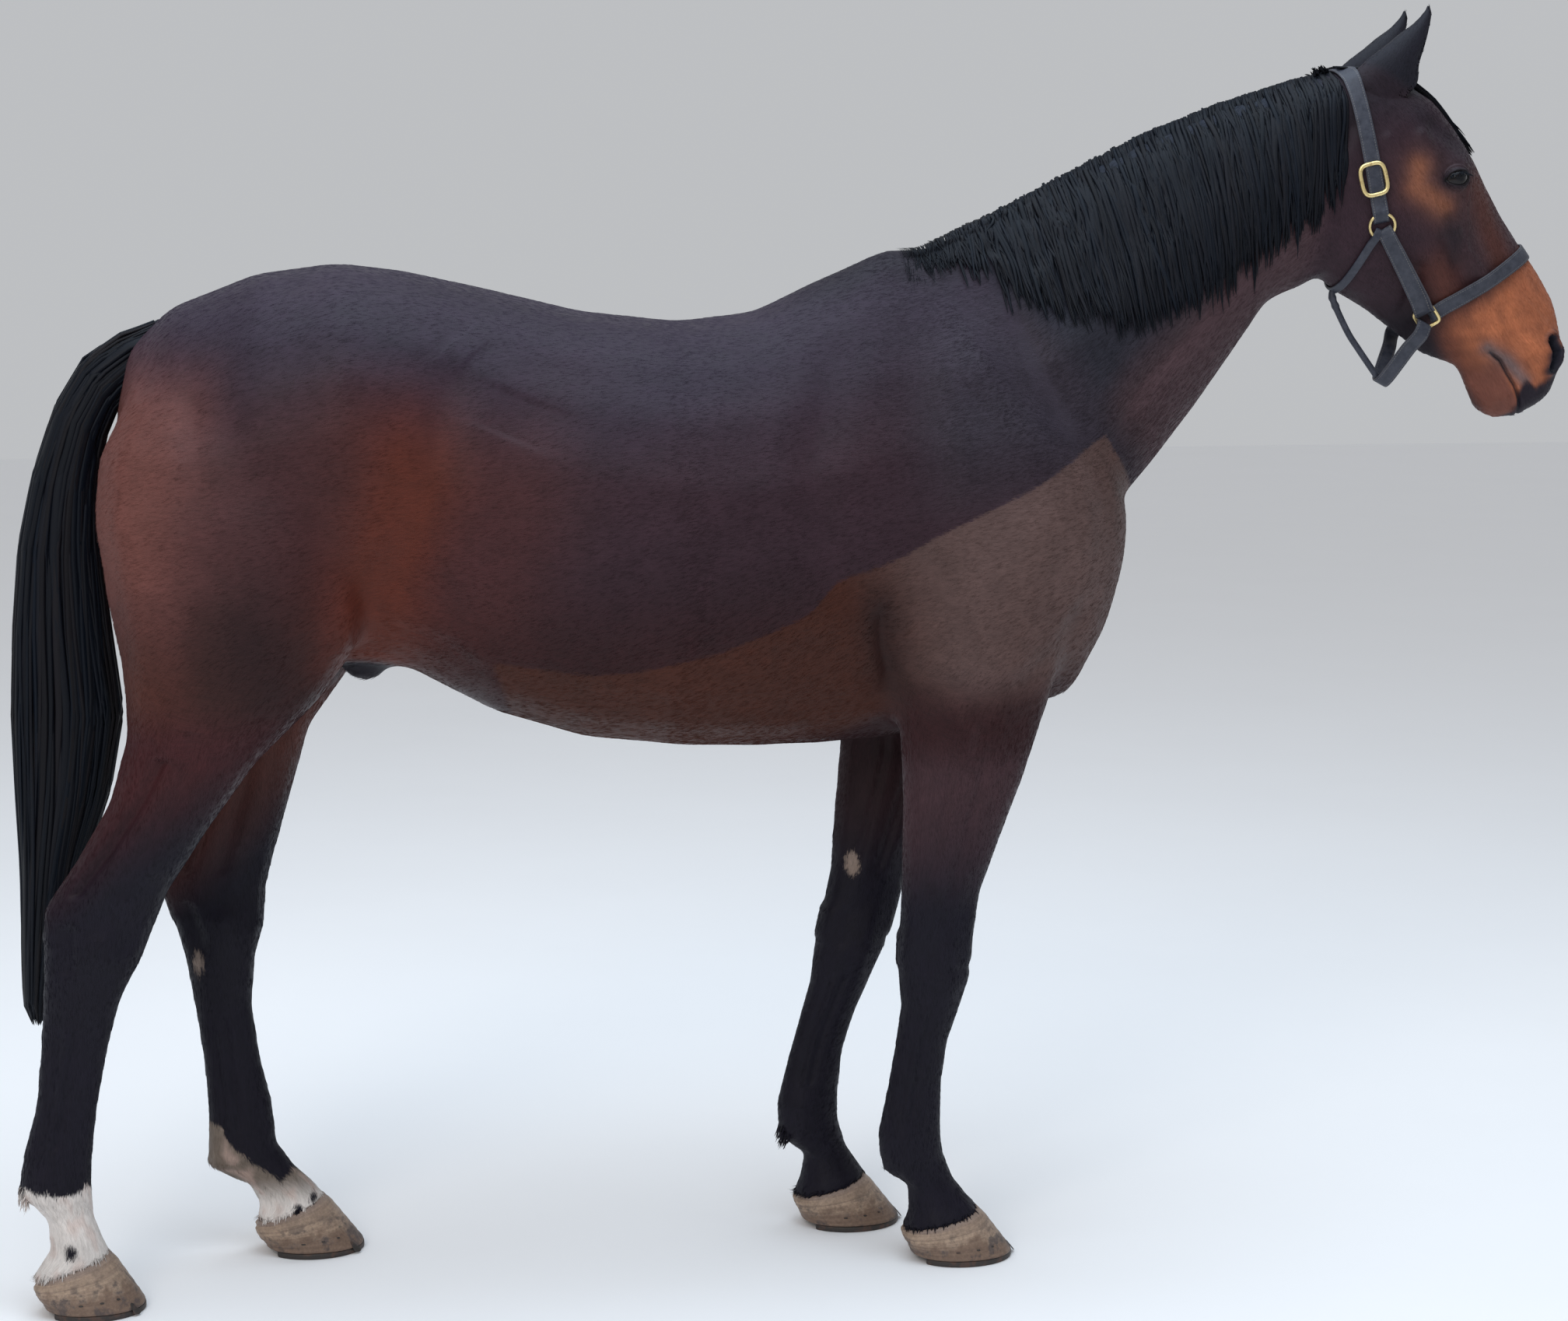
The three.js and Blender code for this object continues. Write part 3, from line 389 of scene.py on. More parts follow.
# Grooves (negative) and ridges on both sides of the body: a line in x and z, its width and its height.
bodyRelief = [
    ([(0.285, 1.54), (0.335, 1.42), (0.395, 1.31), (0.435, 1.22)], 0.026, -0.008),
    ([(0.205, 1.5), (0.265, 1.38), (0.345, 1.25)], 0.03, 0.005),
    ([(0.25, 1.1), (0.36, 1.19), (0.4, 1.13)], 0.05, 0.005),
    ([(0.01, 1.44), (-0.045, 1.29), (-0.03, 1.15), (0.045, 1.05)], 0.036, -0.007),
    ([(0.07, 1.06), (0.074, 1.005), (0.092, 0.944)], 0.015, -0.013),
    ([(0.105, 1.03), (0.135, 0.99)], 0.028, 0.006),
    ([(0.12, 1.17), (0.19, 1.06), (0.2, 0.96)], 0.02, -0.004),
    ([(0.13, 0.962), (0.218, 0.928), (0.317, 0.938)], 0.018, -0.004),
    ([(0.395, 1.06), (0.345, 0.985), (0.29, 0.945)], 0.018, -0.006),
    ([(-0.56, 1.47), (-0.6, 1.37), (-0.625, 1.26), (-0.68, 1.13), (-0.7, 1.06)], 0.046, -0.013),
    ([(-0.47, 1.4), (-0.5, 1.33)], 0.065, -0.008),
    ([(-0.575, 1.48), (-0.55, 1.45)], 0.04, 0.006),
    ([(-0.7, 1.065), (-0.64, 1.062), (-0.575, 1.04), (-0.52, 0.985)], 0.02, 0.006),
    ([(-0.755, 1.09), (-0.74, 1.01)], 0.045, 0.006),
    ([(-0.96, 1.43), (-0.955, 1.28), (-0.935, 1.1), (-0.975, 0.93)], 0.024, -0.006),
    ([(-0.88, 1.36), (-0.85, 1.22), (-0.86, 1.06)], 0.05, 0.005),
    ([(-0.905, 1.18), (-0.87, 1.02), (-0.9, 0.93)], 0.02, -0.003),
    ([(0.717, 1.634), (0.618, 1.513), (0.5, 1.398), (0.45, 1.3)], 0.015, -0.006),
    ([(0.69, 1.66), (0.585, 1.545), (0.48, 1.44)], 0.024, 0.003),
    ([(0.64, 1.76), (0.5, 1.64), (0.4, 1.53)], 0.03, -0.003),
]

ribs = {"from": -0.43, "to": -0.02, "apart": 0.052, "height": 0.0002}

# The same on a leg's outside and inside: from back (0) to front (1) and level, then width and height.
foreRelief = [
    ([(0.62, 0.9), (0.58, 0.78), (0.55, 0.62)], 0.008, -0.0045),
    ([(0.34, 0.88), (0.32, 0.74), (0.26, 0.62)], 0.007, -0.004),
    ([(0.8, 0.8), (0.78, 0.66)], 0.02, 0.0035),
    ([(0.85, 0.575), (0.9, 0.52)], 0.014, 0.004),
    ([(0.6, 0.545), (0.62, 0.47)], 0.018, 0.0035),
    ([(0.3, 0.545), (0.32, 0.5)], 0.01, -0.0035),
    ([(0.95, 0.5), (0.6, 0.497)], 0.005, -0.002),
    ([(0.06, 0.545), (0.02, 0.51)], 0.012, 0.005),
    ([(0.46, 0.44), (0.44, 0.27)], 0.0045, -0.0036),
    ([(0.24, 0.44), (0.25, 0.27)], 0.0035, -0.0024),
    ([(0.35, 0.43), (0.35, 0.27)], 0.004, 0.0016),
    ([(0.34, 0.225), (0.36, 0.195)], 0.014, 0.004),
    ([(0.1, 0.175), (0.14, 0.145)], 0.012, -0.004),
]

hindRelief = [
    ([(0.28, 0.86), (0.24, 0.76), (0.2, 0.66)], 0.011, -0.011),
    ([(0.48, 0.9), (0.52, 0.78), (0.55, 0.66)], 0.014, -0.0035),
    ([(0.72, 0.84), (0.76, 0.7)], 0.026, 0.005),
    ([(0.2, 0.6), (0.26, 0.545)], 0.013, -0.008),
    ([(0.55, 0.585), (0.6, 0.56)], 0.02, 0.0045),
    ([(0.8, 0.56), (0.85, 0.5)], 0.016, 0.0035),
    ([(0.36, 0.52), (0.4, 0.47)], 0.012, -0.003),
    ([(0.04, 0.63), (0.04, 0.59)], 0.014, 0.004),
    ([(0.48, 0.44), (0.46, 0.27)], 0.0045, -0.0038),
    ([(0.26, 0.45), (0.26, 0.27)], 0.0035, -0.0026),
    ([(0.37, 0.44), (0.36, 0.27)], 0.004, 0.0016),
    ([(0.34, 0.215), (0.36, 0.185)], 0.014, 0.004),
    ([(0.12, 0.165), (0.16, 0.135)], 0.012, -0.004),
]

# On the head, in its own axes: how far down and out.
headRelief = [
    ([(0.15, 0.056), (0.185, 0.074)], 0.017, -0.006),
    ([(0.145, 0.03), (0.185, 0.022), (0.214, 0.006)], 0.012, 0.006),
    ([(0.12, -0.02), (0.175, -0.02), (0.23, -0.01), (0.3, -0.002)], 0.01, 0.004),
    ([(0.3, 0.0), (0.35, 0.001), (0.4, 0.008)], 0.009, 0.0065),
    ([(0.31, -0.022), (0.36, -0.024), (0.41, -0.02)], 0.012, -0.005),
    ([(0.3, 0.04), (0.38, 0.045), (0.45, 0.04)], 0.02, -0.006),
    ([(0.225, -0.049), (0.27, -0.067), (0.312, -0.082)], 0.013, -0.0025),
    ([(0.33, -0.075), (0.375, -0.125), (0.38, -0.155)], 0.012, -0.007),
    ([(0.15, -0.15), (0.23, -0.175), (0.3, -0.165)], 0.03, 0.004),
    ([(0.07, -0.06), (0.11, -0.12), (0.15, -0.18)], 0.013, -0.007),
    ([(0.252, 0.06), (0.28, 0.04), (0.32, 0.02), (0.35, -0.004)], 0.003, 0.0011),
    ([(0.455, 0.048), (0.505, 0.058), (0.548, 0.062)], 0.009, 0.003),
    ([(0.47, 0.01), (0.52, 0.012), (0.56, 0.02)], 0.01, -0.003),
    ([(0.5, -0.014), (0.545, -0.006), (0.59, -0.004)], 0.013, 0.0035),
    ([(0.545, -0.06), (0.585, -0.062)], 0.015, 0.0045),
    ([(0.49, -0.05), (0.515, -0.052)], 0.009, -0.0025),
]

mouthLine = [(0.514, -0.038), (0.534, -0.032), (0.558, -0.034), (0.581, -0.034), (0.606, -0.038),
             (0.64, -0.046)]

nostrilLine = [(0.556, 0.06), (0.574, 0.056), (0.586, 0.046), (0.594, 0.036)]

eyeSettings = {
    "radius": 0.021,        # eyeball
    "lid": 0.0022,          # thickness of the lids over it
    "half": 0.02,         # half the length of the opening
    "above": 0.0092,        # how far it opens above and below the line between its corners
    "below": 0.0078,
    "slit": (0.44, 0.9),   # the line between its corners, down and out on the head
}

# Places about an eye: along its slit to the front, up, and outwards.
def eyeAxes(places, side):
    along = onHead(*eyeSettings["slit"], 0) - poll
    outward = unit(np.array([0.16, side * 1.0, 0.02]))
    along = unit(along - outward * (along @ outward))
    upward = np.cross(outward, along) * -side
    away = places - eyeAt[side]
    return away, along, upward, outward

# How far a place is inside the eye's opening, measured across it.
def eyeOpening(a, b):
    span = np.clip(1 - (a / eyeSettings["half"]) ** 2, 0, 1)
    top = eyeSettings["above"] * span ** 0.75 + 0.0006
    bottom = -eyeSettings["below"] * span ** 0.9 - 0.0002
    inside = np.minimum(top - b, b - bottom)
    return np.where(span > 0, inside, -np.hypot(np.abs(a) - eyeSettings["half"], b))

def modelLids(places):
    moved = places.copy()
    for side in (-1, 1):
        away, along, upward, outward = eyeAxes(places, side)
        near = (np.linalg.norm(away, axis=1) < 0.05) & (away @ outward > -0.004)
        v = away[near]
        a, b, c = v @ along, v @ upward, v @ outward
        r = np.linalg.norm(v, axis=1)
        rho = np.hypot(a, b * 1.15)
        lidded = smooth(0.033, 0.021, rho)
        over = eyeSettings["radius"] + eyeSettings["lid"]
        inside = eyeOpening(a, b)
        fold = bell(inside + 0.0075, 0.0016) * 0.0016 * (b > 0) + bell(inside + 0.0065,
            0.0016) * 0.0009 * (b < 0)
        rim = bell(inside + 0.0016, 0.0016) * 0.0009
        bag = bell(inside + 0.0115, 0.004) * 0.002 * (b > 0)
        reach = np.maximum(over, 0) + rim - fold + bag
        reach = np.where(inside > -0.0004, eyeSettings["radius"] - 0.006 * smooth(-0.0004, 0.0008, inside)
                         + (over - eyeSettings["radius"]) * smooth(0.0008, -0.0004, inside), reach)
        target = r + (reach - r) * lidded
        target = np.maximum(target, np.where(inside > -0.0004, 0, over * smooth(0.04, 0.03, rho)))
        moved[near] = eyeAt[side] + v * (target / np.maximum(r, 1e-6))[:, None]
    return moved

# Height of the modelling at each place, along the normal.
def relief(places):
    x, y, z = places.T
    down, out, _ = headAxes(places)
    head, ears = headShare(places), earShare(places)
    height = np.zeros(len(places))
    trunk = (1 - head) * smooth(0.86, 0.95, z)
    for line, width, tall in bodyRelief:
        distance, along = lineDistance(x, z, line)
        ends = smooth(0, 0.15, along) * smooth(1, 0.85, along) * 0.5 + 0.5
        height += tall * bell(distance, width) * trunk * ends * smooth(0.03, 0.08, np.abs(y))
    inRibs = smooth(ribs["from"], ribs["from"] + 0.12, x) * smooth(ribs["to"], ribs["to"] - 0.1, x)
    inRibs *= smooth(0.93, 1.02, z) * smooth(1.42, 1.3, z)
    height += ribs["height"] * np.cos(2 * pi * (x - 0.25 * (z - 1.1)) / ribs["apart"]) * inRibs
    for leg in legNames:
        share = legShare(places, leg)
        own = share > 0
        s, t = legAxes(places[own], leg)
        ladder = ladders[leg]
        wide = np.interp(z[own], ladder["levels"], ladder["front"] - ladder["back"])
        drop = -0.055 if leg == "left_hind" else (-0.02 if leg == "right_fore" or leg == "left_fore" else 0)
        for line, width, tall in (hindRelief if leg.endswith("hind") else foreRelief):
            shifted = [(place * 0.12, level + drop * smooth(0.9, 0.3, np.float64(level))) for place,
                       level in line]
            distance, _ = lineDistance(s * 0.12, z[own], shifted)
            height[own] += tall * bell(distance * wide / 0.12, width) * share[own]
    for line, width, tall in headRelief:
        distance, _ = lineDistance(down, out, line)
        height += tall * bell(distance, width) * head * (1 - ears) * smooth(0.015, 0.035, np.abs(y))
    distance, along = lineDistance(down, out, mouthLine)
    height += head * (-0.0065 * bell(distance, 0.0022) * smooth(0, 0.1, along)
                      + 0.0016 * bell(distance - 0.006, 0.004))
    distance, along = lineDistance(down, out, nostrilLine)
    opened = smooth(0.014, 0.024, np.abs(y)) * head
    wide = 0.0055 + 0.003 * (1 - along)
    height += opened * (-0.02 * smooth(wide + 0.0018, wide - 0.0022, distance)
                        + 0.003 * bell(distance - wide - 0.004, 0.0035))
    return height

depths = {"coat": 0.0022, "face": 0.0011, "leg": 0.0014, "ear": 0.0004}

# The coat's depth over the skin.
def coatDepth(places):
    depth = np.full(len(places), depths["coat"])
    depth += (depths["leg"] - depth) * smooth(0.85, 0.65, places[:, 2])
    depth += (depths["face"] - depth) * headShare(places)
    return depth + (depths["ear"] - depth) * earShare(places)

normals = vertexNormals(flesh, fleshTriangles)
flesh = flesh - normals * coatDepth(flesh)[:, None] + normals * relief(flesh)[:, None]
flesh = relaxed(flesh, lists, 0.35 * headShare(flesh)[:, None] * (1 - 0.9 * earShare(flesh))[:, None], 1)
flesh = modelLids(flesh)

print("skin modelled")

# Fewer triangles in the head and in the rest, each to its own number. The ring where they meet is kept.
def thinned(places, triangles, inHead):
    parts = []
    for own, limit in ((inHead, skinSettings["headLimit"]), (~inHead, skinSettings["bodyLimit"])):
        used, local = np.unique(triangles[own], return_inverse=True)
        piece = makeObject("thinning", places[used], local.reshape(-1, 3))
        ring = piece.vertex_groups.new(name="ring")
        ring.add(np.flatnonzero(np.isin(used, triangles[~own])).tolist(), 1.0, "REPLACE")
        parts.append(modified(piece, "DECIMATE", ratio=limit / own.sum(), vertex_group="ring",
                              invert_vertex_group=True))
    (head, headCorners), (rest, restCorners) = parts
    merged, which = np.unique(np.concatenate([head, rest]), axis=0, return_inverse=True)
    corners = which.ravel()[np.concatenate([headCorners, restCorners + len(head)])]
    return merged, corners[(corners != np.roll(corners, 1, axis=1)).all(1)]

skinPlaces, skinTriangles = thinned(flesh, fleshTriangles, (headShare(flesh)[fleshTriangles] > 0.5).all(1))
skinNormals = vertexNormals(skinPlaces, skinTriangles)

print("skin:", len(skinTriangles), "triangles")

def tone(red, green, blue):
    channels = np.array([red, green, blue]) / 255
    return np.where(channels <= 0.04045, channels / 12.92, ((channels + 0.055) / 1.055) ** 2.4)

# A smooth wandering value about 0, of about unit size: products of sines with seeded slopes.
def wander(places, size, seed):
    draw = np.random.default_rng(seed)
    total = np.zeros(len(places))
    for _ in range(5):
        first, second = (places @ unit(draw.normal(size=3)) * 2 * pi / size * draw.uniform(0.7, 1.5)
                         + draw.uniform(0, 2 * pi) for _ in range(2))
        total += np.sin(first) * np.sin(second)
    return total / 1.6

# Coat tones by name. Some stand in for light: the crease tone is painted shade, the far sock's tone is a tan
# tint with painted shadow, the lip-edge tone is grey skin with a painted highlight, and the nostril and dark
# tones are painted shade where noted.
coatTones = {name: tone(*channels) for name, channels in {
    "barrel": (48, 31, 38), "back": (46, 37, 49), "belly": (42, 13, 12), "flank": (84, 38, 27),
    "thigh": (60, 35, 37),
    "buttock": (100, 60, 54), "neck": (34, 33, 41), "underNeck": (70, 52, 56), "shoulder": (46, 42, 51),
    "clipped": (87, 68, 65), "clippedBelly": (62, 30, 20), "creaseShade": (38, 19, 17), "forearm": (58, 38, 42),
    "black": (18, 15, 26), "inner": (34, 16, 17), "innerHind": (82, 46, 38), "neckTop": (18, 24, 37),
    "lowThigh": (28, 17, 20), "sockTanAndShadow": (112, 100, 90), "gaskin": (58, 26, 28), "cheek": (46, 31, 38),
    "face": (60, 46, 51), "orange": (128, 80, 60), "muzzle": (164, 97, 66), "faceRed": (84, 46, 36),
    "dark": (26, 22, 29), "lips": (34, 27, 36), "lipGreyAndHighlight": (92, 84, 86), "chin": (112, 68, 56),
    "white": (212, 204, 198), "pink": (176, 150, 140), "chestnut": (132, 116, 106), "earBack": (25, 24, 32),
    "nostril": (36, 36, 44), "lidEdge": (13, 11, 13)}.items()}

clipLine = [(-0.7, 0.96), (-0.522, 0.995), (-0.383, 0.978), (-0.302, 0.984), (-0.185, 1.012),
            (-0.055, 1.063),
            (-0.01, 1.112), (0.088, 1.142), (0.172, 1.185), (0.292, 1.24), (0.371, 1.283), (0.52, 1.37)]

topLine = [(-1.06, 1.46), (-0.98, 1.525), (-0.86, 1.574), (-0.74, 1.59), (-0.51, 1.551), (-0.37, 1.518),
           (-0.22, 1.502), (-0.1, 1.516), (0.01, 1.568), (0.11, 1.612), (0.21, 1.614), (0.31, 1.67),
           (0.52, 1.78), (0.86, 1.92)]

sockLevels = {
    "right_hind": ((-1.26, 0.205), (-1.203, 0.2), (-1.18, 0.189), (-1.157, 0.195), (-1.13, 0.196)),
    "left_hind": ((-0.985, 0.225), (-0.948, 0.219), (-0.939, 0.193), (-0.9, 0.158), (-0.858, 0.127),
                  (-0.828, 0.14)),
}

ermineSpots = {"right_hind": [(-1.17, 0.104, 0.012)],
               "left_hind": [(-0.83, 0.08, 0.008), (-0.806, 0.095, 0.006)]}

# Horny spots inside the legs: place in x and z, and half sizes.
chestnuts = {"left_fore": (0.078, 0.613, 0.011, 0.02), "right_fore": (0.145, 0.64, 0.011, 0.02),
             "left_hind": (-0.977, 0.486, 0.008, 0.017), "right_hind": (-1.17, 0.5, 0.008, 0.017)}

# The coat's colour at each place of the body, with painted shade and a painted highlight in places, the colour
# of what lies over it (clipped hair, white socks with a tan tint and painted shadow on the far hind one, horny
# spots, and painted shade in the elbow's crease, the nostrils and the mouth's slit), and the distance outside
# the edge of that.
def coatColour(places, normals):
    x, y, z = places.T
    down, out, _ = headAxes(places)
    head, side = headShare(places), np.abs(y)
    rough, fine = wander(places, 0.3, 3), wander(places, 0.045, 4)
    under, over = (np.tile(coatTones[name], (len(places), 1)) for name in ("barrel", "clippedBelly"))

    def paint(colours, *layers):
        for name, mask in layers:
            colours += (coatTones[name] - colours) * np.clip(mask, 0, 1)[:, None]

    # Nearness to a line in two axes: the sum of bells with each width and strength.
    def near(axes, line, *bells):
        distance = lineDistance(*axes, line)[0]
        return sum(strength * bell(distance, width) for width, strength in bells)

    belowTop = np.interp(x, *zip(*topLine)) - z
    hindmost = smooth(-0.85, -1.06, x + 0.03 * rough + 0.1 * (z - 1.2))
    overThroat = aboveLine(x, z, [(0.4, 1.27), (0.469, 1.368), (0.618, 1.513), (0.717, 1.634), (0.8, 1.7)])
    inNeck = smooth(-0.02, 0.06, past(places, neckCut))
    sheath = np.hypot((x + 0.715) / 0.07, (z - 0.945) / 0.045)
    body, face = (x, z), (down, out)
    paint(under, ("belly", smooth(1.16, 0.98, z) * 0.8),
          ("shoulder", smooth(0.05, 0.22, x) * smooth(1.15, 1.35, z) * 0.8),
          ("thigh", smooth(-0.64, -0.72, x) * smooth(0.94, 1.08, z) * 0.9),
          ("lowThigh", smooth(-0.72, -0.8, x) * smooth(1.2, 1.04, z) * smooth(-1.02, -0.94, x) * 0.9),
          ("flank", near(body, [(-0.6, 1.43), (-0.64, 1.28), (-0.69, 1.12), (-0.7, 1.02)], (0.075, 0.9),
                         (0.16, 0.25))),
          ("flank", near(body, [(-0.47, 1.3), (-0.52, 1.1)], (0.08, 0.25))),
          ("back", smooth(0.3, 0.06, belowTop + rough * 0.03) * (x < 0.45)),
          ("buttock", hindmost * smooth(1.0, 1.16, z) * smooth(1.52, 1.36, z)),
          ("faceRed", hindmost * smooth(1.14, 1.0, z) * smooth(0.78, 0.92, z) * 0.6),
          ("dark", smooth(-0.1, 0.06, x) * smooth(0.34, 0.2, x) * smooth(0.075, 0.02,
              belowTop + 0.01 * rough) * 0.75),
          ("neck", inNeck), ("neckTop", inNeck * smooth(1.48, 1.6, z - 0.3 * (x - 0.45)) * 0.9),
          ("underNeck", inNeck * smooth(0.1, -0.02, overThroat)),
          # Painted shade along the middle of the underside, from the chest back under the belly.
          ("creaseShade", smooth(0.9, 0.84, z) * smooth(0.06, 0.02, side) * (x > -0.6) * 0.6),
          ("dark", smooth(1.15, 0.75, sheath) * smooth(0.13, 0.09, side)))
    paint(over, ("clipped", smooth(0.02, 0.2, x + (z - 1.0) * 0.3) * (0.92 + 0.12 * rough)),
          # Painted shade in the crease at the elbow.
          ("creaseShade", near(body, [(0.06, 1.07), (0.072, 1.005), (0.096, 0.944), (0.12, 0.92)],
                          (0.036, 0.85))))
    edge = np.maximum(aboveLine(x, z, clipLine), (-0.5 - x - (z - 0.93) * 0.4) * 0.8)
    edge = np.maximum(edge, past(places, neckCut) + 0.01)
    low = 0.935 - 0.1 * smooth(0.12, 0.0, x)
    fade = smooth(low - 0.045, low + 0.045, z + 0.015 * rough) * (x > -0.2) + (x <= -0.2)

    for leg in legNames:
        share = legShare(places, leg)
        own = share > 0
        s, t = legAxes(places[own], leg)
        zo, xo, fo = z[own], x[own], fine[own]
        fore = leg.endswith("fore")

        def inLeg(values, rest=0.0):
            whole = np.full(len(places), rest)
            whole[own] = values
            return whole

        low = 0.76 if leg == "right_hind" else 0.7
        level = zo - (0 if fore else 0.14 * (s - 0.4)) + rough[own] * 0.02
        paint(under, ("forearm" if fore else "gaskin", share),
              ("inner" if fore else "innerHind", inLeg(share[own] * smooth(0.2, -0.5, t)) * 0.8),
              ("black", inLeg(share[own] * smooth(low + 0.1, low - 0.12, level))))
        spotX, spotZ, wide, tall = chestnuts[leg]
        inside = np.hypot((xo - spotX) / wide, (zo - spotZ) / tall)
        spotEdge = np.where(t < 0.1, (inside - 1) * wide, 0.05)
        if leg in sockLevels:
            level = np.interp(xo, *zip(*sockLevels[leg])) + 0.004 * fo
            ermine = np.full(len(zo), -0.05)
            for spotX, spotZ, size in ermineSpots[leg]:
                ermine = np.maximum(ermine, size * (1 + 0.25 * fo) - np.hypot(xo - spotX, zo - spotZ))
            seen = t > 0 if leg == "right_hind" else t < 0
            spotEdge = np.minimum(spotEdge, np.maximum(zo - level, np.where(seen, ermine, -0.05)))
            white = share * (z < 0.25)
            # The far hind sock's upper part: a tan tint with painted shadow over it.
            shade = (leg == "left_hind") * smooth(0.08, 0.135, z)
            paint(over, ("white", white), ("sockTanAndShadow", white * shade),
                  ("pink", white * smooth(0.3, 0.9, fine) * 0.45))
        paint(over, ("chestnut", share * (z > 0.25) * (z < 0.72)))
        edge = np.where(own & (z < 0.8), inLeg(spotEdge, 0.05), edge)

    muzzle = head * smooth(0.4, 0.45, down + 0.1 * out + rough * 0.006)
    noseLine = [(-0.2, 0.66), (-0.045, 0.618), (-0.034, 0.594), (-0.014, 0.583), (-0.005, 0.606),
                (0.029, 0.603),
                (0.05, 0.585), (0.074, 0.565), (0.2, 0.54)]
    nostril = lineDistance(down, out, nostrilLine)[0]
    nose = np.minimum(-aboveLine(out, down, noseLine), np.where(side > 0.014, nostril - 0.012, 0.05))
    paint(under, ("cheek", head), ("face", head * smooth(-0.05, 0.05, out) * smooth(0.12, 0.25, down) * 0.8),
          ("dark", head * smooth(0.14, 0.05, down) * 0.7))
    # The two dark lines here are painted shade: below the facial crest, and in the hollow above the eye.
    for name, line, *bells in (
            ("orange", [(0.183, -0.004), (0.208, -0.024), (0.236, -0.012), (0.262, 0.0)], (0.017, 0.75),
             (0.034, 0.2)),
            ("faceRed", [(0.27, 0.074), (0.33, 0.062), (0.4, 0.05)], (0.03, 0.7)),
            ("faceRed", [(0.35, -0.05), (0.4, -0.06)], (0.036, 0.7)),
            ("dark", [(0.28, -0.002), (0.318, -0.01), (0.345, -0.022)], (0.015, 0.6)),
            ("dark", [(0.12, 0.05), (0.16, 0.06), (0.2, 0.08)], (0.026, 0.6))):
        paint(under, (name, head * near(face, line, *bells)))
    paint(under, ("muzzle", muzzle * smooth(-0.115, -0.06, out) * (0.9 + 0.1 * fine)),
          ("faceRed", muzzle * bell(out + 0.085, 0.022) * 0.7),
          ("faceRed", muzzle * smooth(0.03, 0.06, out) * (0.18 + 0.15 * fine)),
          ("face", muzzle * bell(down - 0.545, 0.03) * smooth(0.01, -0.02, out) * 0.4),
          ("dark", head * smooth(0.33, 0.4, down) * smooth(-0.085, -0.115, out) * 0.85),
          ("chin", head * smooth(0.52, 0.545, down) * smooth(-0.034, -0.046, out)),
          ("dark", head * smooth(0.5, 0.56, down) * smooth(-0.08, -0.097, out) * 0.75),
          # Grey skin along the upper lip's ridge, with a painted highlight on it.
          ("lipGreyAndHighlight", head * near(face, [(0.505, -0.038), (0.539, -0.024), (0.582, -0.017)], (0.012, 0.8))),
          ("lips", head * smooth(0.01, -0.006, nose + 0.003 * fine)))
    # Painted shade inside the nostrils and along the mouth's slit, in the nostril tone.
    inside = smooth(0.012, 0.005, nostril) * smooth(0.012, 0.022, side)
    for colours in (under, over):
        paint(colours, ("nostril", head * (inside + near(face, mouthLine, (0.0026, 0.9)))))
    for which in (-1, 1):
        away, forward, upward, outward = eyeAxes(places, which)
        a, b = away @ forward, away @ upward
        close = smooth(0.06, 0.045, np.linalg.norm(away, axis=1)) * smooth(-0.01, 0.0, away @ outward)
        paint(under, ("dark", close * smooth(0.031, 0.014, np.hypot(a * 0.8, b * 1.35)) * 0.9),
              ("lidEdge", close * smooth(-0.006, -0.0016, eyeOpening(a, b))))
    ears = earShare(places)
    paint(under, ("earBack", ears), ("faceRed", ears * smooth(0.5, 0.9, normals[:, 0]) * 0.5))
    edge = np.where((ears > 0.05) | (head > 0.5), 0.05, edge)
    blotch = 1 + (0.06 * rough + 0.05 * fine)[:, None]
    over = under + (over - under) * np.where((z < 0.72) | (head > 0.5), 1.0, fade)[:, None]
    return np.clip(under * blotch, 0.001, 1), np.clip(over * blotch, 0.001, 1), edge

# Each chart is unrolled round its own axis: metres round it, metres along the lie of the hair, and its
# corner on the sheet.
sheetWide = 3.3

chartCorners = {"trunk": (0.93, 1.15), "neck": (2.3, 1.0), "head": (2.98, 1.0), "right_hind": (2.06, 2.3),
                "left_hind": (2.39, 2.3), "right_fore": (2.72, 2.3), "left_fore": (3.05, 2.3),
                "right_ear": (2.1, 2.55), "left_ear": (2.45, 2.55)}

chartNames = list(chartCorners)

def chartOf(places):
    x, y, z = places.T
    chart = np.zeros(len(places), int)
    chart[past(places, neckCut) > 0] = chartNames.index("neck")
    chart[past(places, headCut) > 0] = chartNames.index("head")
    for leg in legNames:
        hind = leg.endswith("hind")
        own = (z < (0.87 if hind else 0.8)) & (y * legSide[leg] > 0) & ((x < -0.6) if hind else (x > -0.2))
        chart[own] = chartNames.index(leg)
    ears = earShare(places) > 0.5
    chart[ears & (y < 0)] = chartNames.index("right_ear")
    chart[ears & (y >= 0)] = chartNames.index("left_ear")
    return chart

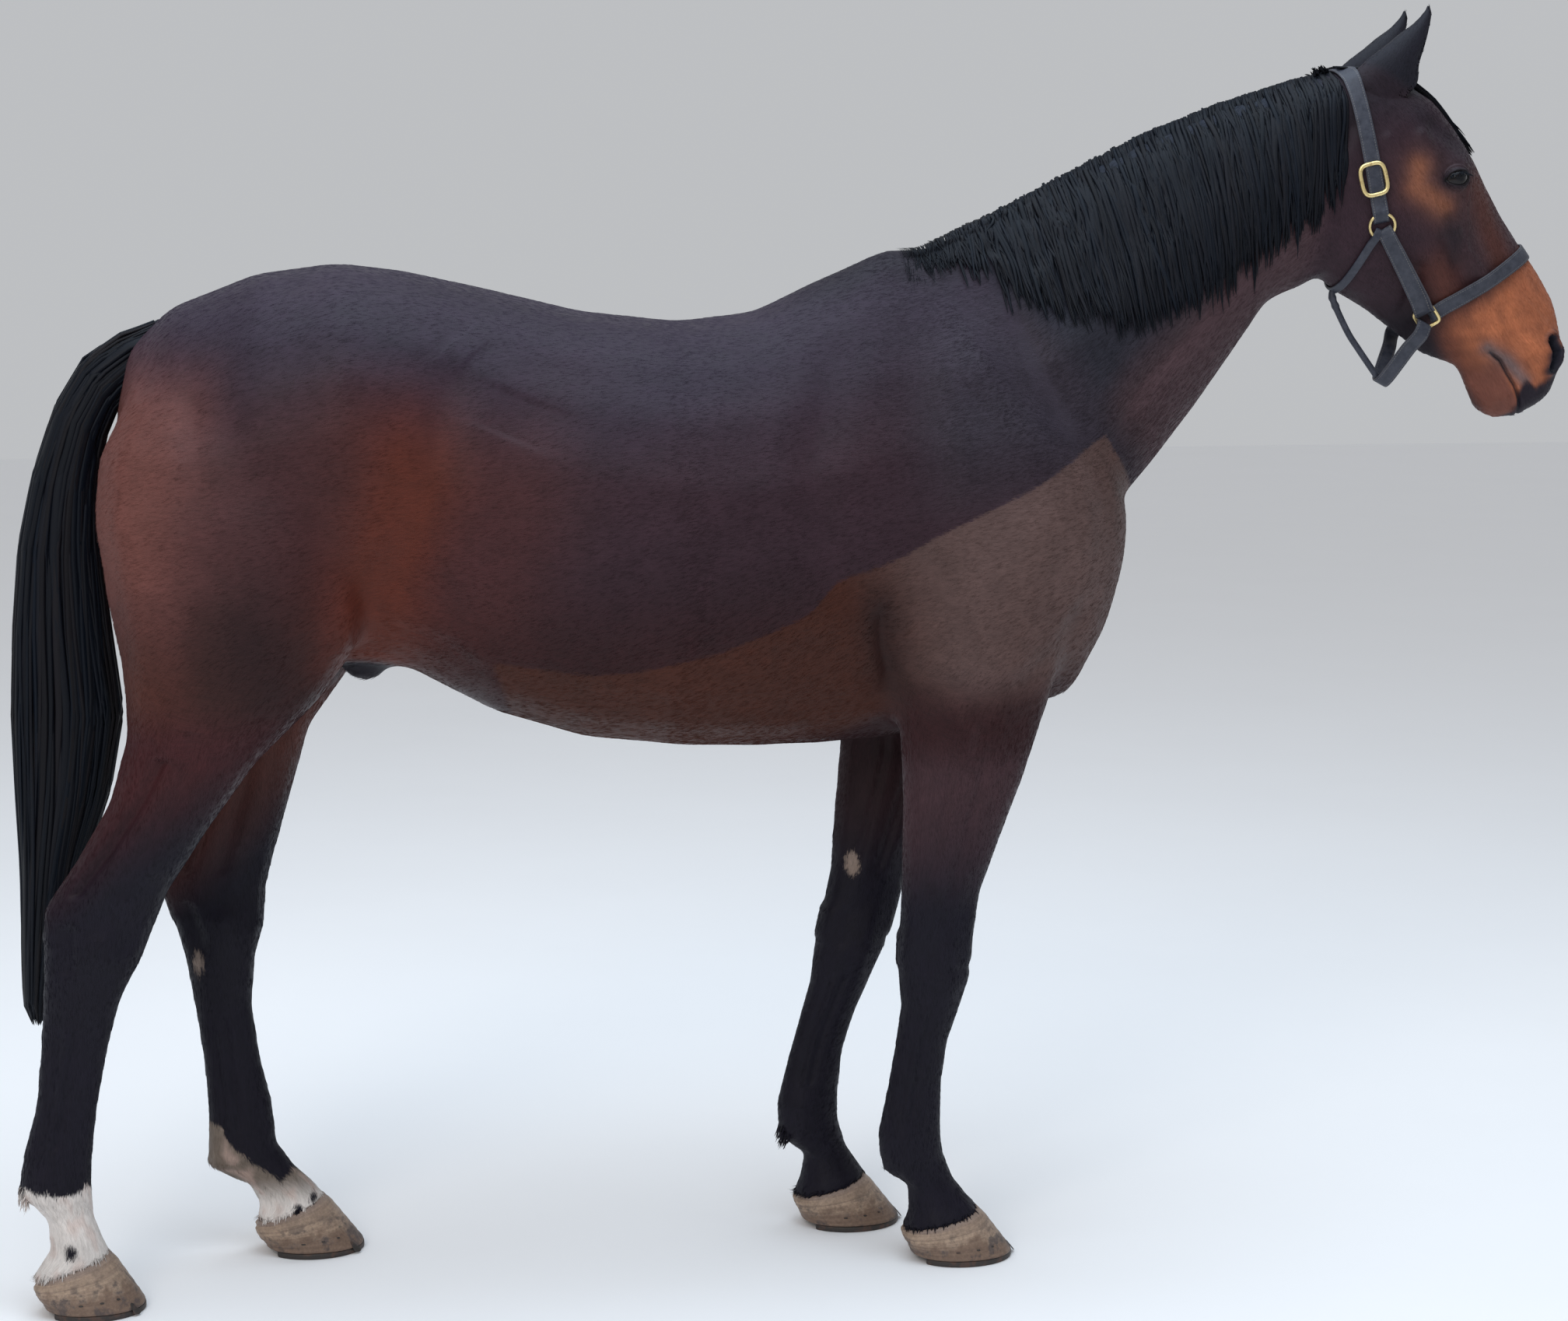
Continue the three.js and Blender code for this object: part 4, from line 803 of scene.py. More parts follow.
def unrolled(places, chart):
    x, y, z = places.T
    around, along = np.zeros(len(places)), np.zeros(len(places))
    for index, name in enumerate(chartNames):
        own = chart == index
        if not own.any():
            continue
        px, py, pz = x[own], y[own], z[own]
        if name == "trunk":
            off = np.hypot(py, pz - 1.2)
            around[own] = np.arctan2(py, pz - 1.2) * 0.29
            ends = smooth(-0.88, -1.06, px) - smooth(0.34, 0.48, px)
            along[own] = -px + (0.27 - off) * ends
        elif name == "neck":
            reach = (px - 0.25) * 0.8 + (pz - 1.3) * 0.6
            around[own] = np.arctan2(py, -(px - 0.25) * 0.6 + (pz - 1.3) * 0.8) * 0.11
            along[own] = -reach
        elif name == "head":
            down, out, across = headAxes(places[own])
            around[own] = np.arctan2(across, out + 0.05) * 0.085
            along[own] = down - (0.08 - np.hypot(across, out + 0.05)) * smooth(0.05, -0.02, down)
            along[own] += (0.05 - np.hypot(across, out + 0.02)) * smooth(0.57, 0.63, down)
        elif name.endswith("ear"):
            centre = earRoots[1 if name == "left_ear" else -1]
            axis = unit(earTips[1] - earRoots[1])
            local = places[own] - centre
            forward = np.array([axis[2], 0, -axis[0]])
            around[own] = np.arctan2(local[:, 1], local @ forward) * 0.03
            along[own] = local @ axis
        else:
            s, t = legAxes(places[own], name)
            around[own] = np.arctan2(t, 2 * s - 1) * 0.05
            along[own] = -pz
    return np.stack([around, along], 1)

def onSheet(flat, chart):
    corner = np.array([chartCorners[name] for name in chartNames])[chart]
    return (flat + corner) / sheetWide

# Which way the hair lies: back along the trunk and neck, down the legs and down the face.
def hairWay(places, normals):
    x, y, z = places.T
    head = headShare(places)[:, None]
    trunkWay = np.stack([np.full(len(x), -1.0), np.zeros(len(x)), -0.25 - 0.5 * smooth(1.2, 0.9, z)], 1)
    neckWay = np.array([-0.7, 0, -0.62])
    way = trunkWay + (neckWay - trunkWay) * smooth(-0.1, 0.1, past(places, neckCut))[:, None]
    legWay = np.array([0.0, 0, -1.0])
    way = way + (legWay - way) * smooth(1.05, 0.8, z)[:, None] * (np.abs(x + 0.2) > 0.3)[:, None]
    faceWay = np.array([cos(headFall), 0, -sin(headFall)])
    down, out, _ = headAxes(places)
    cheekWay = np.array([-0.1, 0, -1.0])
    face = faceWay + (cheekWay - faceWay) * (smooth(0.0, -0.1, out) * smooth(0.4, 0.3, down))[:, None]
    way = way + (face - way) * head
    earWay = np.array([0.4, 0, 1.0])
    way = way + (earWay - way) * earShare(places)[:, None]
    way = way - normals * (way * normals).sum(1, keepdims=True)
    return unit(way)

# A shader's node tree: each call adds a node and gives back its output. Inputs are values or outputs.
class Look:
    def __init__(self, tree):
        self.tree = tree

    def node(self, kind, output=0, settings=(), **inputs):
        node = self.tree.nodes.new("ShaderNode" + kind)
        for key, value in dict(settings).items():
            setattr(node, key, value)
        for key, value in inputs.items():
            socket = node.inputs[int(key[1:]) if key[1:].isdigit() else key.replace("_", " ")]
            if isinstance(value, bpy.types.NodeSocket):
                self.tree.links.new(value, socket)
            else:
                socket.default_value = (*value.tolist(), 1.0) if isinstance(value, np.ndarray) else value
        return node.outputs[output]

    def math(self, operation, first, second=0.0):
        return self.node("Math", 0, {"operation": operation}, i0=first, i1=second)

    def add(self, first, second):
        return self.math("ADD", first, second)

    def times(self, first, second):
        return self.math("MULTIPLY", first, second)

    def vector(self, operation, first, second=(0, 0, 0), output=0):
        return self.node("VectorMath", output, {"operation": operation}, i0=first, i1=second)

    def mix(self, share, first, second, blend="MIX"):
        settings = {"data_type": "RGBA", "blend_type": blend}
        return self.node("Mix", 2, settings, i0=share, i6=first, i7=second)

    def remap(self, value, low, high, toLow, toHigh):
        return self.node("MapRange", Value=value, From_Min=low, From_Max=high, To_Min=toLow, To_Max=toHigh)

    # The middle of a noise's range, carried to another range.
    def spread(self, value, low, high):
        return self.remap(value, 0.3, 0.7, low, high)

    def noise(self, place, scale, detail, rough=0.5):
        return self.node("TexNoise", Vector=place, Scale=scale, Detail=detail, Roughness=rough)

    def scaled(self, colour, *shares):
        for share in shares:
            colour = self.mix(1.0, colour, self.node("CombineXYZ", X=share, Y=share, Z=share), "MULTIPLY")
        return colour

    # Tones laid over a colour, each by its own share.
    def layers(self, colour, *pairs):
        for share, shade in pairs:
            colour = self.mix(share, colour, shade)
        return colour

    def tone(self, name="tone"):
        return self.node("VertexColor", 0, {"layer_name": name})

    def place(self):
        return self.node("TexCoord", "Object")

    def map(self, name):
        return self.node("UVMap", 0, {"uv_map": name})

    # The shade and height of a group's pattern.
    def pattern(self, group, place, *numbers):
        node = self.tree.nodes.new("ShaderNodeGroup")
        node.node_tree = group
        self.tree.links.new(place, node.inputs[0])
        for socket, value in zip(node.inputs[1:], numbers):
            socket.default_value = value
        return node.outputs[0], node.outputs[1]

    # Broad clouds over the object, and a fine shade with its grit.
    def clouds(self, broad, amount, small, smallAmount):
        place = self.place()
        return self.pattern(mottle, place, broad, amount)[1], *self.pattern(mottle, place, small,
            smallAmount)

    def finish(self, colour, rough, height=None, distance=0.001, strength=0.6):
        self.tree.links.new(colour, self.surface["Base Color"])
        self.tree.links.new(rough, self.surface["Roughness"])
        if height:
            bump = self.node("Bump", Strength=strength, Distance=distance, Height=height)
            self.tree.links.new(bump, self.surface["Normal"])
        return self.material

# A new material's look, with values on its shader's own sockets.
def newMaterial(name, sockets=()):
    material = bpy.data.materials.new(name)
    material.use_nodes = True
    look = Look(material.node_tree)
    look.material, look.surface = material, look.tree.nodes["Principled BSDF"].inputs
    for key, value in dict(sockets).items():
        look.surface[key].default_value = value
    return look

# A node group that makes a shade, about 1, and a height from 0 to 1 out of a vector and some numbers.
def newGroup(name, numbers, pattern):
    group = bpy.data.node_groups.new(name, "ShaderNodeTree")
    group.interface.new_socket("Vector", in_out="INPUT", socket_type="NodeSocketVector")
    for socket in [*numbers, "Shade", "Height"]:
        way = "INPUT" if socket in numbers else "OUTPUT"
        group.interface.new_socket(socket, in_out=way, socket_type="NodeSocketFloat")
    look = Look(group)
    start, end = (group.nodes.new("NodeGroup" + way) for way in ("Input", "Output"))
    height, contrast = pattern(look, *start.outputs[:len(numbers) + 1])
    shade = look.add(look.times(look.math("SUBTRACT", height, 0.5), contrast), 1.0)
    group.links.new(shade, end.inputs["Shade"])
    group.links.new(height, end.inputs["Height"])
    return group

# Streaks of hair along a map's second axis: fine strands and broader clumps.
def streakPattern(look, place, across, along, contrast):
    stretched = look.vector("MULTIPLY", place, look.node("CombineXYZ", X=across, Y=along, Z=across))
    strand, clump = look.noise(stretched, 1.0, 3.0, 0.6), look.noise(stretched, 0.28, 2.0)
    return look.add(look.times(strand, 0.62), look.times(clump, 0.38)), contrast

# Blotches over a surface.
def mottlePattern(look, place, scale, amount):
    return look.noise(place, scale, 5.0, 0.62), amount

hairStreaks = newGroup("hairStreaks", ["Across", "Along", "Contrast"], streakPattern)
mottle = newGroup("mottle", ["Scale", "Amount"], mottlePattern)

def coatMaterial():
    look = newMaterial("coat", {"Specular IOR Level": 0.15, "Sheen Weight": 0.02, "Sheen Roughness": 0.45,
                                "Sheen Tint": (0.75, 0.86, 1.0, 1.0)})
    edge = look.node("Attribute", "Fac", {"attribute_name": "edge"})
    shade, height = look.pattern(hairStreaks, look.map("lie"), 900.0, 110.0, 1.3)
    ragged = look.add(edge, look.remap(height, 0.35, 0.65, -0.005, 0.005))
    cloud = look.noise(look.place(), 22.0, 4.0, 0.6)
    colour = look.mix(look.remap(ragged, -0.0025, 0.0025, 1.0, 0.0), look.tone(), look.tone("overTone"))
    rough = look.add(look.spread(cloud, 0.4, 0.5), look.times(height, 0.1))
    return look.finish(look.scaled(colour, shade, look.spread(cloud, 0.9, 1.1)), rough, height, 0.0012, 0.55)

coatLook = coatMaterial()
skin = makeObject("skin", skinPlaces, skinTriangles)
skinTone, skinOver, skinEdge = coatColour(skinPlaces, skinNormals)
addColours(skin, "tone", skinTone)
addColours(skin, "overTone", skinOver)
addValues(skin, "edge", skinEdge)
faceCharts = chartOf(skinPlaces[skinTriangles].mean(1))
cornerPlaces = skinPlaces[skinTriangles.ravel()]
lie = unrolled(cornerPlaces, np.repeat(faceCharts, 3)).reshape(-1, 3, 2)
seam = 0.9 * np.ptp(lie[:, :, 0], axis=1, keepdims=True) > 0.2
lie[:, :, 0] = np.where(seam & (lie[:, :, 0] < 0), lie[:, :, 0] + 1.0, lie[:, :, 0])
addMap(skin, "lie", lie.reshape(-1, 2))
placePiece(skin, coatLook, fleshNodes)

print("skin in place")

# The skin's outermost y on one side over a grid in x and z, with gaps filled from their neighbours.
gridStep = 0.006
gridLow = np.array([-1.3, 0.0])

def sideMap(side):
    shape = (440, 345)
    own = (skinPlaces[:, 1] * side > -0.003) & (skinNormals[:, 1] * side > -0.3)
    cell = np.floor((skinPlaces[own][:, [0, 2]] - gridLow) / gridStep).astype(int)
    reach = np.full(shape, -9.0)
    np.maximum.at(reach, (cell[:, 0], cell[:, 1]), skinPlaces[own, 1] * side)
    for _ in range(4):
        padded = np.pad(reach, 1, "edge")
        shifted = [padded[1 + i:1 + i + shape[0], 1 + j:1 + j + shape[1]] for i in (-1, 0, 1)
                   for j in (-1, 0, 1)]
        known = [np.where(part > -5, 1.0, 0.0) for part in shifted]
        mean = sum(part * has for part, has in zip(shifted, known)) / np.maximum(sum(known), 1)
        reach = np.where(reach > -5, 0.5 * reach + 0.5 * mean, np.where(sum(known) > 0, mean, -9.0))
    return np.where(reach > -5, reach, 0.0)

sideMaps = {side: sideMap(side) for side in (-1, 1)}

# How far out the skin is on one side, at places in x and z.
def reachAt(x, z, side):
    u = np.clip((x - gridLow[0]) / gridStep - 0.5, 0, 438)
    v = np.clip((z - gridLow[1]) / gridStep - 0.5, 0, 343)
    i, j = u.astype(int), v.astype(int)
    fu, fv = u - i, v - j
    grid = sideMaps[side]
    return ((grid[i, j] * (1 - fu) + grid[i + 1, j] * fu) * (1 - fv)
            + (grid[i, j + 1] * (1 - fu) + grid[i + 1, j + 1] * fu) * fv)

# Angles round a ring, the length along a path, and a width that narrows to a rounded tip.
def turns(count):
    return 2 * pi * np.arange(count) / count

def lengthAlong(path):
    return np.append(0, np.cumsum(np.linalg.norm(np.diff(path, axis=0), axis=1)))

def tipped(t, power):
    return np.sqrt(np.clip(1.02 - t ** power, 0, 1))

# A wave squared off or rounded by a power: its sign and its size are kept apart.
def squared(wave, power):
    return np.sign(wave) * np.abs(wave) ** power

# Locks: flat tubes along paths. Places are (lock, step, 3), flatWay is the way their width lies, and
# wide and thick are half sizes at each step. Each lock is capped at its root and left open at its end.
def lockMesh(paths, flatWay, wide, thick, around=6):
    count, steps, _ = paths.shape
    along = unit(np.gradient(paths, axis=1))
    across = unit(flatWay - along * (flatWay * along).sum(2, keepdims=True))
    out = np.cross(across, along)
    turn = turns(around)
    ring = (across[:, :, None] * (np.cos(turn)[:, None] * wide[:, :, None, None])
            + out[:, :, None] * (np.sin(turn)[:, None] * thick[:, :, None, None]))
    places = (paths[:, :, None] + ring).reshape(count, steps * around, 3)
    places = np.concatenate([places, paths[:, :1]], 1)
    k = np.arange(around)
    nextK = (k + 1) % around
    a = (np.arange(steps - 1)[:, None] * around + k).ravel()
    b = (np.arange(steps - 1)[:, None] * around + nextK).ravel()
    tube = np.concatenate([np.stack([a, b, b + around], 1), np.stack([a, b + around, a + around], 1)])
    root = np.stack([nextK, k, np.full(around, steps * around)], 1)
    pattern = np.concatenate([tube, root])
    faces = (pattern[None] + (np.arange(count) * (steps * around + 1))[:, None, None]).reshape(-1, 3)
    return places.reshape(-1, 3), faces

# A map for locks: each ring's places, and one more for the root's middle.
def eachLock(u, v):
    flat = np.stack(np.broadcast_arrays(u, v), -1).reshape(len(u), -1, 2)
    return np.concatenate([flat, flat[:, :1]], 1).reshape(-1, 2)

# Each lock's patch on the sheet, in rows and columns, with the lock's length up the patch.
def lockMap(count, steps, around):
    columns = int(np.ceil(np.sqrt(count * 3)))
    rows = int(np.ceil(count / columns))
    lock = np.arange(count)[:, None, None]
    u = lock % columns / columns + np.arange(around) / around * 0.8 / columns
    v = lock // columns / rows + np.linspace(0, 0.9, steps)[:, None] / rows
    return eachLock(u, v)

# Metres round and along each lock, for streaks.
def lockLie(paths, around):
    steps = np.linalg.norm(np.diff(paths, axis=1), axis=2)
    along = np.concatenate([np.zeros((len(paths), 1)), np.cumsum(steps, 1)], 1)[..., None]
    return eachLock(np.arange(len(paths))[:, None, None] * 0.137 + np.arange(around) * 0.0025, along)

def hairMaterial():
    look = newMaterial("hair", {"Specular IOR Level": 0.14})
    shade, height = look.pattern(hairStreaks, look.map("lie"), 1400.0, 9.0, 1.0)
    return look.finish(look.scaled(look.tone(), shade), look.spread(height, 0.42, 0.56), height, 0.001, 0.7)

hairLook = hairMaterial()
hairTones = {"black": tone(8, 14, 23), "brown": tone(27, 21, 21)}

def makeLocks(name, paths, flatWay, wide, thick, brown, replaced, around=6):
    places, faces = lockMesh(paths, flatWay, wide, thick, around)
    piece = makeObject(name, places, faces)
    count, steps, _ = paths.shape
    shade = rng.uniform(0.75, 1.25, (count, 1, 1)) * np.ones((1, steps * around + 1, 1))
    colours = np.asarray(brown, float)
    if colours.ndim == 1:
        colours = hairTones["black"] + (hairTones["brown"] - hairTones["black"]) * colours[:, None]
    colours = colours[:, None] * shade
    addColours(piece, "tone", colours.reshape(-1, 3))
    addMap(piece, "OFBake", lockMap(count, steps, around))
    addMap(piece, "lie", lockLie(paths, around))
    print(name, len(faces), "triangles")
    return placePiece(piece, hairLook, replaced)

maneSettings = {
    "locks": 1220,
    "steps": 13,
    "wide": 0.005,
    "thick": 0.0016,
    "crest": [(0.02, 1.578), (0.11, 1.617), (0.165, 1.617), (0.285, 1.662), (0.4, 1.722), (0.52, 1.783),
              (0.645, 1.833), (0.765, 1.871), (0.835, 1.889)],
    "edge": [(0.05, 1.555), (0.1, 1.575), (0.19, 1.588), (0.27, 1.59), (0.32, 1.54), (0.36, 1.512),
             (0.41, 1.52),
             (0.455, 1.49), (0.54, 1.512), (0.64, 1.56), (0.74, 1.628), (0.815, 1.672), (0.85, 1.712)],
}

def maneLocks():
    own = maneSettings
    count, steps = own["locks"], own["steps"]
    root = np.sort(rng.uniform(0.13, 0.838, count))
    crest = np.interp(root, *zip(*own["crest"])) - 0.009 * smooth(0.3, 0.13, root)
    lean = np.interp(root, [0.1, 0.15, 0.3, 0.6, 0.8, 0.838],
                     [0.0, 0.05, 0.24, 0.14, 0.02, -0.02]) + rng.normal(0, 0.04, count)
    target = np.interp(root + lean * 0.2, *zip(*own["edge"])) + rng.normal(0, 0.016, count)
    inner = rng.random(count) < 0.35
    target += inner * rng.uniform(0, 0.09, count)
    target = np.minimum(target, crest - 0.03 - 0.02 * rng.random(count))
    t = np.linspace(0, 1, steps)[None]
    drop = (crest - target)[:, None]
    sway = rng.normal(0, 0.0035, (count, 1)) * np.sin(t * pi * rng.uniform(1, 2.2, (count, 1))
                                                      + rng.uniform(0, 6, (count, 1)))
    clump = 0.006 * np.sin(root * 2 * pi / 0.031)[:, None] * t ** 1.5
    x = root[:, None] + lean[:, None] * drop * t + sway + clump
    z = crest[:, None] + 0.003 * np.sin(np.clip(t * 5, 0, 1) * pi) - drop * t ** 1.1
    layer = rng.uniform(0.0015, 0.0075, (count, 1))
    onSide = reachAt(x, np.minimum(z, crest[:, None] - 0.012), -1)
    fromTop = smooth(0, 0.2, t)
    start = rng.uniform(-0.006, 0.01, (count, 1))
    y = start * (1 - fromTop) - (onSide + layer) * fromTop
    z = z + (1 - fromTop) * 0.003
    paths = np.stack([x, y, z], -1)
    flat = np.zeros_like(paths)
    flat[..., 0], flat[..., 2] = 0.9, 0.42
    taper = tipped(t, 2.0) * smooth(-0.12, 0.1, t) * smooth(0.115, 0.3, root)[:, None]
    wide = own["wide"] * taper * rng.uniform(0.45, 1.1, (count, 1))
    thick = own["thick"] * taper * rng.uniform(0.7, 1.1, (count, 1))
    wide[:, -1], thick[:, -1] = 0.0003, 0.0003
    return paths, flat, wide, thick

def growMane():
    paths, flat, wide, thick = maneLocks()
    makeLocks("mane_locks", paths, flat, wide, thick, rng.random(len(paths)) * 0.3, ["mane"])

forelockSettings = {"locks": 180, "steps": 12, "wide": 0.0048, "thick": 0.0015, "tip": 0.236}

# The forelock lies down the middle of the forehead: out on the head from the skin's own top line.
def growForelock():
    own = forelockSettings
    count, steps = own["locks"], own["steps"]
    t = np.linspace(0, 1, steps)[None]
    start = rng.uniform(-0.012, 0.05, (count, 1))
    end = own["tip"] - np.abs(rng.normal(0, 0.03, (count, 1)))
    downs = start + (end - start) * t
    spread = rng.uniform(-1, 1, (count, 1))
    across = spread * (0.03 - 0.017 * t) + 0.003 * np.sin(3 * t + 6 * spread)
    down, out, side = headAxes(skinPlaces)
    centre = (np.abs(side) < 0.012) & (out > -0.02) & (headShare(skinPlaces) > 0.5)
    bins = np.arange(-0.03, 0.3, 0.008)
    tops = np.array([out[centre & (np.abs(down - place) < 0.006)].max(initial=-0.02) for place in bins])
    tops = np.convolve(np.pad(tops, 2, "edge"), np.ones(5) / 5, "valid")
    layer = rng.uniform(0.001, 0.009, (count, 1))
    outs = np.interp(downs, bins, tops) - 4.5 * across ** 2 + layer * smooth(0, 0.2,
        t) + 0.007 * smooth(0.8, 1.0, t)
    paths = onHead(downs, outs, across)
    flat = np.zeros_like(paths)
    flat[..., 1] = 1
    taper = tipped(t, 2.5) + 0 * start
    wide, thick = own["wide"] * taper * rng.uniform(0.6, 1.1, (count, 1)), own["thick"] * taper
    wide[:, -1], thick[:, -1] = 0.0003, 0.0003
    makeLocks("forelock_locks", paths, flat, wide, thick, rng.random(count) * 0.5, ["forelock"])

# Back and front edges and half widths of the tail, from the dock down.
tailSections = [
    ((-1.0, 1.518), (-0.985, 1.438), 0.022), ((-1.064, 1.488), (-1.026, 1.41), 0.032),
    ((-1.119, 1.448), (-1.068, 1.374), 0.038), ((-1.164, 1.376), (-1.091, 1.32), 0.042),
    ((-1.2, 1.274), (-1.1, 1.25), 0.046), ((-1.225, 1.166), (-1.099, 1.158), 0.05),
    ((-1.238, 1.038), (-1.088, 1.038), 0.054), ((-1.245, 0.908), (-1.073, 0.908), 0.055),
    ((-1.243, 0.788), (-1.096, 0.788), 0.05), ((-1.239, 0.668), (-1.14, 0.668), 0.042),
    ((-1.241, 0.548), (-1.168, 0.548), 0.034), ((-1.241, 0.455), (-1.19, 0.455), 0.026),
    ((-1.228, 0.42), (-1.206, 0.42), 0.01),
]

tailSettings = {"locks": 620, "steps": 24, "wide": 0.008, "thick": 0.0024, "core": 0.72}

# The place in the tail at a share of its length, a share of its radius and a turn round it.
def inTail(length, radius, turn):
    low, high, half = (np.array([section[k] for section in tailSections]) for k in range(3))
    place = length * (len(half) - 1)
    index = np.arange(len(half))
    at = [np.interp(place, index, values) for values in (low[:, 0], low[:, 1], high[:, 0], high[:, 1], half)]
    mid = [(at[0] + at[2]) / 2, (at[1] + at[3]) / 2]
    reach = radius * np.cos(turn)
    return np.stack([mid[0] + reach * (at[2] - at[0]) / 2, at[4] * radius * np.sin(turn),
                     mid[1] + reach * (at[3] - at[1]) / 2], -1)

def growTail():
    own = tailSettings
    count, steps = own["locks"], own["steps"]
    t = np.linspace(0, 1, steps)[None]
    start = np.where(rng.random((count, 1)) < 0.35, 0.02, rng.uniform(0.02, 0.3, (count, 1)))
    end = np.clip(1.0 - np.abs(rng.normal(0, 0.16, (count, 1))), 0.5, 0.995)
    length = start + (end - start) * t
    turn = rng.uniform(0, 2 * pi, (count, 1)) + 0.16 * np.sin(t * rng.uniform(2, 6, (count, 1))
        + rng.uniform(0, 6, (count, 1)))
    radius = np.sqrt(rng.uniform(0.62, 0.93, (count, 1))) + 0.035 * np.sin(t * 9
        + rng.uniform(0, 6, (count, 1)))
    radius = np.clip(radius * (0.8 + 0.2 * smooth(0, 0.12, t)), 0, 0.96)
    paths = inTail(length, radius, turn)
    centre = inTail(length, 0 * radius, turn)
    outward = unit(paths - centre)
    flat = np.cross(unit(np.gradient(paths, axis=1)), outward)
    taper = tipped(t, 4) * smooth(-0.1, 0.06, t) + 0 * start
    wide, thick = own["wide"] * taper * rng.uniform(0.4, 1.15, (count, 1)), own["thick"] * taper
    wide[:, -1], thick[:, -1] = 0.0003, 0.0003
    makeLocks("tail_locks", paths, flat, wide, thick, rng.random(count) ** 2 * 0.6, ["tail"])
    length = np.linspace(0.0, 0.93, 40)[None]
    core = inTail(length, np.zeros_like(length), np.zeros_like(length))
    edge = inTail(length, np.full_like(length, own["core"]), np.zeros_like(length))
    side = inTail(length, np.full_like(length, own["core"]), np.full_like(length, pi / 2))
    shrink = np.sqrt(smooth(1.0, 0.96, np.linspace(0, 1, 40)))[None] + 0.01
    wide = np.linalg.norm(edge - core, axis=2) * shrink
    thick = np.linalg.norm(side - core, axis=2) * shrink
    makeLocks("tail_core", core, edge - core, wide, thick, np.zeros(1), [], around=24)

growMane()
growForelock()
growTail()

skinAreas = np.linalg.norm(np.cross(skinPlaces[skinTriangles[:, 1]] - skinPlaces[skinTriangles[:, 0]],
                                    skinPlaces[skinTriangles[:, 2]] - skinPlaces[skinTriangles[:, 0]]),
                                    axis=1) / 2

triangleMiddles = skinPlaces[skinTriangles].mean(1)

# Random roots on the skin: places, normals and colours, with a density for each triangle.
def scatterRoots(count, density):
    chance = np.cumsum(skinAreas * density)
    pick = np.minimum(np.searchsorted(chance, rng.uniform(0, chance[-1], count)), len(skinAreas) - 1)
    first, second = rng.random(count), rng.random(count)
    over = first + second > 1
    first, second = np.where(over, 1 - first, first), np.where(over, 1 - second, second)
    weights = np.stack([1 - first - second, first, second], 1)[:, :, None]
    corners = skinTriangles[pick]
    over = (skinEdge[corners] * weights[:, :, 0]).sum(1) + rng.normal(0, 0.0015, count) < 0
    colours = np.where(over[:, None], (skinOver[corners] * weights).sum(1),
                       (skinTone[corners] * weights).sum(1))
    return (skinPlaces[corners] * weights).sum(1), unit((skinNormals[corners] * weights).sum(1)), colours

# Tufts: flat blades with three corners at the root and a point at the tip.
def makeTufts(name, roots, normals, colours, ways, lengths, wides, lifts):
    across = np.cross(ways, normals)
    sunk = roots - normals * 0.0006
    half = across * wides[:, None]
    tip = sunk + ways * lengths[:, None] + normals * (0.0006 + lifts)[:, None]
    top = sunk + normals * (0.0006 + 0.35 * wides)[:, None] + ways * (0.15 * lengths)[:, None]
    places = np.stack([sunk - half, sunk + half, top, tip], 1).reshape(-1, 3)
    pattern = np.array([(0, 1, 2), (0, 3, 1), (1, 3, 2), (2, 3, 0)])
    faces = (pattern[None] + np.arange(len(roots))[:, None, None] * 4).reshape(-1, 3)
    piece = makeObject(name, places, faces)
    shade = rng.uniform(0.9, 1.1, (len(roots), 1, 1)) * np.array([0.97, 0.97, 1.0, 1.05])[None, :, None]
    addColours(piece, "tone", (colours[:, None] * shade).reshape(-1, 3))
    chart = chartOf(roots)
    sheet = onSheet(unrolled(roots, chart), chart)
    patch = np.array([(0, 0), (0.003, 0), (0.0015, 0.001), (0.0015, 0.003)])
    addMap(piece, "OFBake", (sheet[:, None] + patch[None]).reshape(-1, 2))
    piece.data.normals_split_custom_set_from_vertices(np.repeat(normals, 4, axis=0))
    print(name, len(faces), "triangles")
    return placePiece(piece, tuftLook)

def tuftMaterial():
    look = newMaterial("tufts", {"Specular IOR Level": 0.15})
    grain = look.noise(look.place(), 400.0, 2.0)
    return look.finish(look.scaled(look.tone(), look.spread(grain, 0.85, 1.15)),
                       look.spread(grain, 0.42, 0.58))

tuftLook = tuftMaterial()
middleX, middleZ = triangleMiddles[:, 0], triangleMiddles[:, 2]
inHead = headShare(triangleMiddles)
inEars = earShare(triangleMiddles)

# Name, number of tufts, length, half width, lift and the share of the skin they grow on.
coatPatches = [
    ("coat_head", 40000, 0.0055, 0.0004, 0.0004, inHead * (1 - 0.6 * inEars)),
    ("coat_neck", 36000, 0.011, 0.00042, 0.0006, (1 - inHead) * smooth(0.05, 0.15, middleX)
     * smooth(1.2, 1.3, middleZ)),
    ("coat_front", 48000, 0.0115, 0.00042, 0.0006, (middleX > -0.25) * (middleX < 0.55)
     * (middleZ > 0.82) * (middleZ < 1.6)),
    ("coat_rear", 49000, 0.0115, 0.00042, 0.0006, (middleX < -0.2) * (middleZ > 0.85)),
    ("coat_fore_legs", 34000, 0.009, 0.0004, 0.0005, (middleX > -0.2) * (middleZ < 0.86)),
    ("coat_hind_legs", 36000, 0.0095, 0.0004, 0.0005, (middleX < -0.6) * (middleZ < 0.93)),
]

